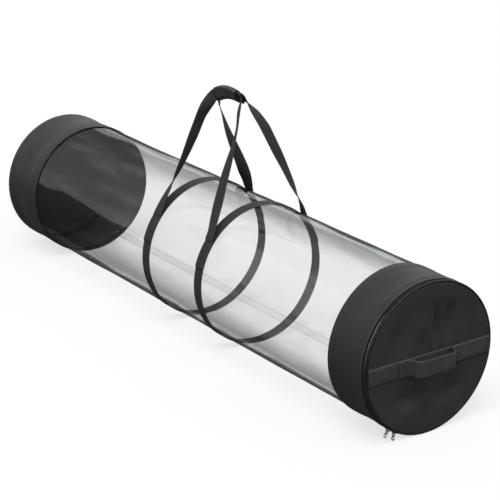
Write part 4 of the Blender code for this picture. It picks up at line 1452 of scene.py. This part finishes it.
@dataclass
class CarryHandles:
    """Both carry handles of twisting webbing, and the fold and flap that hold them together, on edge.

    A leg is a list of points, each with its share of the rise from the band to the wrap, its share of the run
    towards the wrap, and the webbing's twist in degrees. A share of the wrap's length runs from its far end.
    """

    base_angle: float = 52.0
    base_radius: float = 0.1172
    wrap_start: float = -0.028
    wrap_length: float = 0.065
    start_height: float = 0.2690
    crest_height: float = 0.2798
    end_height: float = 0.2775
    crest_share: float = 0.62
    layer: float = 0.0009
    layer_gap: float = 0.0006
    fabric: float = 0.0008
    fastener: float = 0.0004
    fastener_width: float = 0.012
    side_gap: float = 0.0006
    flap_lap: float = 0.017
    end_share: float = 0.10
    end_aside: float = 0.0026
    cloth_start: float = 0.07
    cloth_end: float = 0.90
    seam_back: float = 0.0113
    seam_down: float = 0.0029
    set_back: float = 0.0030
    set_down: float = 0.0055
    flare: float = 0.0035
    flare_start: float = 1.7 / 3
    flare_rise: float = 3.0
    flare_fall: float = 26.0
    held_start: float = 0.65
    held_reach: float = 0.25
    start_tilt: float = 78.0
    end_tilt: float = 64.0
    fold_seam_gap: float = 0.0014
    fold_rounding: float = 0.0012
    flap_rounding: float = 0.0014
    sheet_rows: int = 24
    front_far: Leg = (
        (0.0, 0.0, 0), (0.08, 0.03, 10), (0.19, 0.12, 28), (0.26, 0.23, 40), (0.36, 0.30, 62),
        (0.49, 0.37, 75), (0.66, 0.42, 92), (0.80, 0.50, 96), (0.91, 0.67, 128))
    front_near: Leg = (
        (0.0, 0.0, 180), (0.06, 0.02, 180), (0.13, 0.09, 184), (0.26, 0.20, 192), (0.38, 0.30, 186),
        (0.49, 0.38, 180), (0.60, 0.44, 168), (0.70, 0.49, 154), (0.81, 0.57, 154), (0.91, 0.74, 160))
    back_near: Leg = (
        (0.0, 0.0, 0), (0.05, -0.02, 2), (0.11, -0.08, 10), (0.16, -0.09, 22), (0.22, -0.06, 36),
        (0.31, -0.02, 54), (0.44, 0.02, 65), (0.58, 0.10, 80), (0.73, 0.26, 84), (0.81, 0.38, 84),
        (0.91, 0.64, 68))
    back_far: Leg = (
        (0.0, 0.0, -180), (0.06, 0.04, -165), (0.16, 0.24, -145), (0.28, 0.38, -105), (0.41, 0.44, -85),
        (0.56, 0.46, -66), (0.68, 0.47, -50), (0.80, 0.48, -34), (0.86, 0.49, -28), (0.91, 0.56, -18))

    def wrap_curve(self, share: float) -> tuple[float, float]:
        """Place along the bag and height of the wrap's middle, at a share of its length."""
        crest = self.crest_share
        end_height = self.start_height if share < crest else self.end_height
        off = (share - crest) / (crest if share < crest else 1 - crest)
        height = self.crest_height + (end_height - self.crest_height) * off ** 2
        return self.wrap_start + self.wrap_length * share, BAG.axis_z + height

    def tilt(self, share: float) -> float:
        """How far the held webbing has turned on edge, in radians, at a share of the wrap's length."""
        return math.radians(self.start_tilt + (self.end_tilt - self.start_tilt) * share)

    def middle(self, share: float) -> Vector:
        """Middle of the held webbing at a share of the wrap's length."""
        x, z = self.wrap_curve(share)
        return Vector((x, self.set_back, z - self.set_down))

    def frame(self, share: float) -> tuple[Vector, Vector]:
        """Ways up across the held webbing and out of its back."""
        tilt = self.tilt(share)
        back, ahead = self.middle(share - 0.01), self.middle(share + 0.01)
        away = Vector((back.z - ahead.z, 0, ahead.x - back.x)).normalized()
        side = Vector((0, 1, 0))
        return away * math.sin(tilt) - side * math.cos(tilt), away * math.cos(tilt) + side * math.sin(tilt)

    def on_wrap(self, share: float, up: float, back: float) -> Vector:
        """Point beside the wrap's middle line."""
        across, out = self.frame(share)
        return self.middle(share) + across * up + out * back

    def leg_points(self, leg: Leg, band_x: float, side: int, wrap_share: float) -> list[tuple[float, ...]]:
        """Points of a leg up to the wrap, each with the webbing's twist.

        Args:
            leg: The leg.
            band_x: Where the leg stands.
            side: -1 at the front and 1 at the back.
            wrap_share: End of the wrap that it runs to.

        Returns:
            The points.
        """
        base = ring_point(band_x, self.base_radius, side * self.base_angle)
        top = self.middle(wrap_share)
        points = []
        for rise, run, twist in leg:
            opening = smoothed((rise - self.flare_start) * self.flare_rise)
            spread = self.flare * float(opening * smoothed((1 - rise) * self.flare_fall))
            points.append((base.x + run * (top.x - base.x), base.y + rise * (top.y - base.y) + side * spread,
                           base.z + rise * (top.z - base.z), twist))
        return points

    def handle(self, first: list[tuple[float, ...]], second: list[tuple[float, ...]], side: int) -> Pair:
        """Edges of a handle, from band to band.

        Args:
            first: Points of the leg that it starts with.
            second: Points of the other leg.
            side: -1 for the front handle, which is the inner layer in the wrap, and 1 for the back one.

        Returns:
            The points of its two edges.
        """
        beyond = self.end_share
        shares = [-beyond, -beyond / 3, *(i / 8 for i in range(9)), 1 + beyond / 3, 1 + beyond]
        if first[0][0] > second[0][0]:
            shares.reverse()
        wrap = []
        for share in shares:
            aside = Vector((0, side * self.end_aside if abs(share - 0.5) > 0.5 + beyond / 2 else 0.0, 0))
            wrap.append((*(self.middle(share) + aside), 90.0 - side * math.degrees(self.tilt(share))))
        route = splined(np.array(first + wrap + second[::-1], float), 2)
        edges: tuple[list[Vector], list[Vector]] = ([], [])
        sideways = Vector((0, side, 0))
        for i, (x, y, z, twist) in enumerate(route):
            before, after = route[max(i - 1, 0)], route[min(i + 1, len(route) - 1)]
            outwards = Vector((after[2] - before[2], 0, before[0] - after[0])).normalized() * side
            if i in (0, len(route) - 1):
                outwards = Vector((math.copysign(1, after[2] - before[2]) * side, 0, 0))
            turn = math.radians(twist)
            across = sideways * math.sin(turn) - outwards * math.cos(turn)
            out = outwards * math.sin(turn) + sideways * math.cos(turn)
            held = smoothed(((z - BAG.axis_z) / self.crest_height - self.held_start) / self.held_reach)
            centre = Vector((x, y, z)) + outwards.lerp(out, float(held)) * self.layer * side
            edges[0].append(centre - across * BAG.band_width / 2)
            edges[1].append(centre + across * BAG.band_width / 2)
        return splined(np.array(edges[0]), 4), splined(np.array(edges[1]), 4)

    def along_wrap(self, name: str, section: Outline, thickness: float, start: float = 0.0, end: float = 1.0,
                   seam: float | None = None) -> bpy.types.Object:
        """Sheet that follows the wrap.

        Args:
            name: The piece's name.
            section: Points of (up, back) from the middle of the held webbing.
            thickness: Its thickness.
            start: Share of the cloth's length where it starts.
            end: Share where it ends.
            seam: How far short of the flap's seam it starts, for a sheet that hangs from there.

        Returns:
            The object.
        """
        rows = []
        for i in range(self.sheet_rows + 1):
            share = self.on_cloth(start + (end - start) * i / self.sheet_rows)
            row = [self.on_wrap(share, *point) for point in section]
            if seam is not None:
                root = self.seam(share)
                root = root + (row[0] - root).normalized() * seam
                row = [root.lerp(row[0], step / 4) for step in range(4)] + row
            rows.append([tuple(point) for point in row])
        return cloth_sheet(name, np.array(rows), thickness)

    def on_cloth(self, share: float) -> float:
        """Share of the held length at a share of the cloth round it, which leaves its ends bare."""
        return self.cloth_start + (self.cloth_end - self.cloth_start) * share

    def seam(self, share: float) -> Vector:
        """Point of the straight seam behind the webbing, on which the flap turns."""
        x, _ = self.wrap_curve(share)
        height = self.start_height + (self.end_height - self.start_height) * share
        return Vector((x, self.seam_back, BAG.axis_z + height - self.seam_down))

    def build(self, sewing: dict[str, RowMaker]) -> None:
        """Makes the handles and the wrap."""
        far, near = (BAG.far_band_x, 0), (BAG.near_band_x, 1)
        for part, side, legs in (("front", -1, ((self.front_far, far), (self.front_near, near))),
                                 ("back", 1, ((self.back_near, near), (self.back_far, far)))):
            first, second = (self.leg_points(leg, band_x, side, end) for leg, (band_x, end) in legs)
            webbing = ribbon(f"{part}_carry_handle", *self.handle(first, second, side))
            dress(webbing, Look.BAND, f"{part}_carry", "webbing", f"{part}_handle")
        self.build_wrap(sewing)

    def build_wrap(self, sewing: dict[str, RowMaker]) -> None:
        """Makes the fold, its flap and the fastener between them."""
        mid = self.layer + BAG.webbing / 2 + self.layer_gap + self.fabric / 2
        half = BAG.band_width / 2 + self.side_gap + self.fabric / 2
        lip = BAG.band_width / 2
        loop_out = mid + self.fabric / 2 + BAG.gap + self.fastener / 2
        hook_out = loop_out + self.fastener + BAG.gap
        flap_out = hook_out + self.fastener / 2 + BAG.gap + self.fabric / 2
        flap = BAG.band_width / 2 + self.side_gap + BAG.gap + self.fabric / 2
        lap = flap - self.flap_lap
        fold = [(0.0025 - half, mid + 0.0013), (-half, 0.8 * mid), (-half, -mid), (lip, -mid)]
        cover = [(flap - 0.0025, mid + 0.0010), (flap, 0.5 * mid), (flap, -flap_out), (lap, -flap_out)]
        for name, node, body, corners, rounding, gap in (
                ("wrap_fold", "handle_wrap", "front_carry", fold, self.fold_rounding, self.fold_seam_gap),
                ("wrap_cover_flap", "wrap_flap", "flap", cover, self.flap_rounding, 0.0)):
            section = spaced(rounded(corners, rounding, 4, False), 0.002, False)
            cloth = self.along_wrap(name, section, self.fabric, seam=gap)
            dress(cloth, Look.WRAP, body, "webbing", node)
        edge = lap + self.fabric
        for name, node, out, body in (("loop_fastener", "loop_tape", loop_out, "front_carry"),
                                      ("hook_fastener", "hook_tape", hook_out, "flap")):
            section = [(edge + self.fastener_width * share, -out) for share in np.linspace(0, 1, 7)]
            tape = self.along_wrap(name, section, self.fastener, 0.04, 0.96)
            dress(tape, Look.PILE, body, "zip_tape", node)
        top = -flap_out - self.fabric / 2 - BAG.thread_lift
        for up in (lap + 0.0020, flap - 0.0020):
            shares = [self.on_cloth(share) for share in np.linspace(0.03, 0.97, 20)]
            sewing["flap"].add([self.on_wrap(share, up, top) for share in shares])
        side = -half - self.fabric / 2 - BAG.thread_lift
        for share in (self.on_cloth(0.035), self.on_cloth(0.965)):
            ups, outs = np.linspace(lap + 0.002, flap - 0.002, 6), np.linspace(-mid * 0.6, mid * 0.6, 3)
            sewing["flap"].add([self.on_wrap(share, up, top) for up in ups])
            sewing["front_carry"].add([self.on_wrap(share, side, out) for out in outs])


@dataclass
class CapStrap:
    """Webbing strap across the cap, and the hand grip sewn on it."""

    width: float = 0.025
    drop: float = 0.0025
    stand: float = 0.020
    half_front: float = 0.033
    rise: float = 0.006
    end_length: float = 0.018
    foot_rounding: float = 0.003
    front_rounding: float = 0.008
    seam_inset: float = 0.0025

    def strap(self, name: str, path: Sequence[tuple[float, float]], node: str) -> None:
        """Makes a strap along a path on the cap.

        Args:
            name: The piece's name.
            path: Points of (across the cap, place along the bag).
            node: The CAD node that it replaces.
        """
        line = np.array(path, float)
        low = np.insert(line[:, ::-1], 2, BAG.axis_z - self.drop - self.width / 2, axis=1)
        high = low + np.array([0.0, 0.0, self.width])
        dress(ribbon(name, low, high), Look.STRAP, "cap", "webbing", node)

    def build(self, sewing: RowMaker) -> None:
        """Makes the strap and the grip."""
        x = BAG.cap_x + BAG.gap + BAG.webbing / 2
        reach = math.sqrt(BAG.panel_radius ** 2 - (self.width / 2 + self.drop) ** 2)
        self.strap("cap_webbing_strap", [(reach * share, x) for share in np.linspace(-1, 1, 41)], "cap_strap")
        low = BAG.cap_x + 2 * BAG.gap + BAG.webbing * 1.5
        high = BAG.cap_x + self.stand - BAG.webbing / 2
        foot = self.half_front + self.rise
        corners = [(foot + self.end_length, low), (foot, low), (self.half_front, high), (0.0, high)]
        half = rounded(corners[:3], self.foot_rounding, 5, False)[:-1]
        half += rounded(corners[1:], self.front_rounding, 8, False)[1:]
        grip = spaced(half + [(-y, place) for y, place in half[-2::-1]], 0.003, False)
        self.strap("cap_hand_grip", grip, "cap_handle")
        on_top = BAG.webbing / 2 + BAG.thread_lift
        z = BAG.axis_z - self.drop
        edge = self.width / 2 - self.seam_inset
        for side in (-1, 1):
            inner, outer = side * (foot + 0.0030), side * (foot + self.end_length - 0.0020)
            for line in crossed_box((inner, -edge), (outer, edge), 6):
                sewing.add([Vector((low + on_top, y, z + up)) for y, up in line])
            for inset in (0.0035, 0.0065):
                sewing.add([Vector((x + on_top, side * (reach - inset), z + up))
                            for up in np.linspace(-edge, edge, 8)])


@dataclass
class Studio:
    """Plain white floor and backdrop, soft light and the camera.

    A lamp is the way to it, its strength and its spread in degrees.
    """

    camera: tuple[float, float, float] = (2.276, -1.563, 1.141)
    turn: tuple[float, float, float] = (69.81, 0.0, 54.73)
    lens: float = 131.6
    ambient: float = 0.42
    floor_size: float = 40.0
    floor_grey: Colour = (0.14, 0.14, 0.14)
    glow_share: float = 0.72
    white: Colour = (1.0, 1.0, 1.0)
    lamps: tuple[tuple[tuple[float, float, float], float, float], ...] = (
        ((0.30, -0.45, 1.0), 1.9, 38.0), ((0.9, 0.5, 0.8), 0.35, 30.0))

    @staticmethod
    def seen(tree: Tree, *others: str) -> Value:
        """1 for rays from the camera and other named kinds of rays, which show the background white."""
        path = tree.add("ShaderNodeLightPath")
        rays = [Value(tree, path.outputs[name]) for name in ("Is Camera Ray", *others)]
        return rays[0] if len(rays) == 1 else rays[0].math("MAXIMUM", rays[1])

    def floor(self) -> None:
        """Makes the floor: white where it is seen, with the object's shadow on it."""
        tree = Tree("studio_floor")
        seen = self.seen(tree)
        colour = tree.mix(seen, self.floor_grey, self.white)
        plain = tree.add("ShaderNodeBsdfDiffuse", None, {"Color": colour}).outputs[0]
        glow = tree.even("ShaderNodeEmission", self.white)
        shape = bmesh.new()
        bmesh.ops.create_grid(shape, x_segments=1, y_segments=1, size=self.floor_size)
        ground = as_object("studio_floor", shape)
        ground.data.materials.append(tree.done(tree.blend(seen * self.glow_share, plain, glow)))

    def sky(self) -> None:
        """Makes the backdrop: white where it is seen, a plain soft light elsewhere."""
        world = bpy.data.worlds.new("studio")
        bpy.context.scene.world = world
        tree = Tree(world.name, world)
        strength = self.seen(tree, "Is Glossy Ray") * (1.0 - self.ambient) + self.ambient
        back = tree.add("ShaderNodeBackground", None, {"Color": (*self.white, 1.0), "Strength": strength})
        tree.add("ShaderNodeOutputWorld", None, {"Surface": back.outputs[0]})

    def build(self) -> None:
        """Makes the floor, the backdrop, the lamps and the camera."""
        self.floor()
        self.sky()
        for i, (way, strength, spread) in enumerate(self.lamps):
            lamp = bpy.data.lights.new(f"studio_lamp_{i + 1}", "SUN")
            lamp.energy = strength
            lamp.angle = math.radians(spread)
            linked(lamp.name, lamp).rotation_euler = Vector(way).to_track_quat("Z", "Y").to_euler()
        lens = bpy.data.cameras.new("studio_camera")
        lens.lens = self.lens
        lens.clip_end = 100.0
        eye = linked("studio_camera", lens)
        eye.location = self.camera
        eye.rotation_euler = [math.radians(a) for a in self.turn]
        bpy.context.scene.camera = eye
        bpy.context.scene.view_settings.view_transform = "Standard"
        bpy.context.scene.cycles.transparent_max_bounces = 24


def main() -> None:
    """Builds the sub-assemblies in order, then the studio."""
    logging.basicConfig(level=logging.INFO, format="%(message)s", force=True)
    sewing = {body: stitches() for body in ("bag", "cap", "flap", "front_carry")}
    FilmTube().build()
    Sleeve("near_fabric_sleeve", "near_sleeve", 0.4165, BAG.sleeve_rim, NEAR_DENTS).build(sewing["bag"])
    Sleeve("far_fabric_sleeve", "far_sleeve", -0.4235, -0.5190, FAR_DENTS).build(sewing["bag"])
    EndPanel("cap_fabric_panel", "cap_panel", BAG.cap_x, -1, Look.CAP, "cap_fabric", "cap",
             CAP_CREASES).build(sewing["cap"])
    EndPanel("far_fabric_panel", "far_panel", BAG.far_x, 1, Look.SLEEVE, "sleeve_fabric", "bag",
             FAR_CREASES).build(sewing["bag"])
    Bead("cap_piping_bead", "cap_piping", BAG.cap_x, -1, "cap").build()
    Bead("far_piping_bead", "far_piping", BAG.far_x, 1, "bag").build()
    Binding("cap_seam_binding", BAG.cap_x, -1, "cap", CAP_BINDING).build()
    Binding("far_seam_binding", BAG.far_x, 1, "bag", FAR_BINDING).build()
    Zip().build()
    Pull("pull_1", "first_pull", 1, 4.0).build()
    Pull("pull_2", "second_pull", -1, 16.0).build()
    Bands().build(sewing["bag"])
    CarryHandles().build(sewing)
    CapStrap().build(sewing["cap"])
    for body, rows in sewing.items():
        slot = {"bag": "sleeve_fabric", "cap": "cap_fabric"}.get(body, "webbing")
        dress(rows.make(f"{body}_stitching"), Look.THREAD, body, slot)
    Studio().build()


if __name__ == "__main__":
    main()
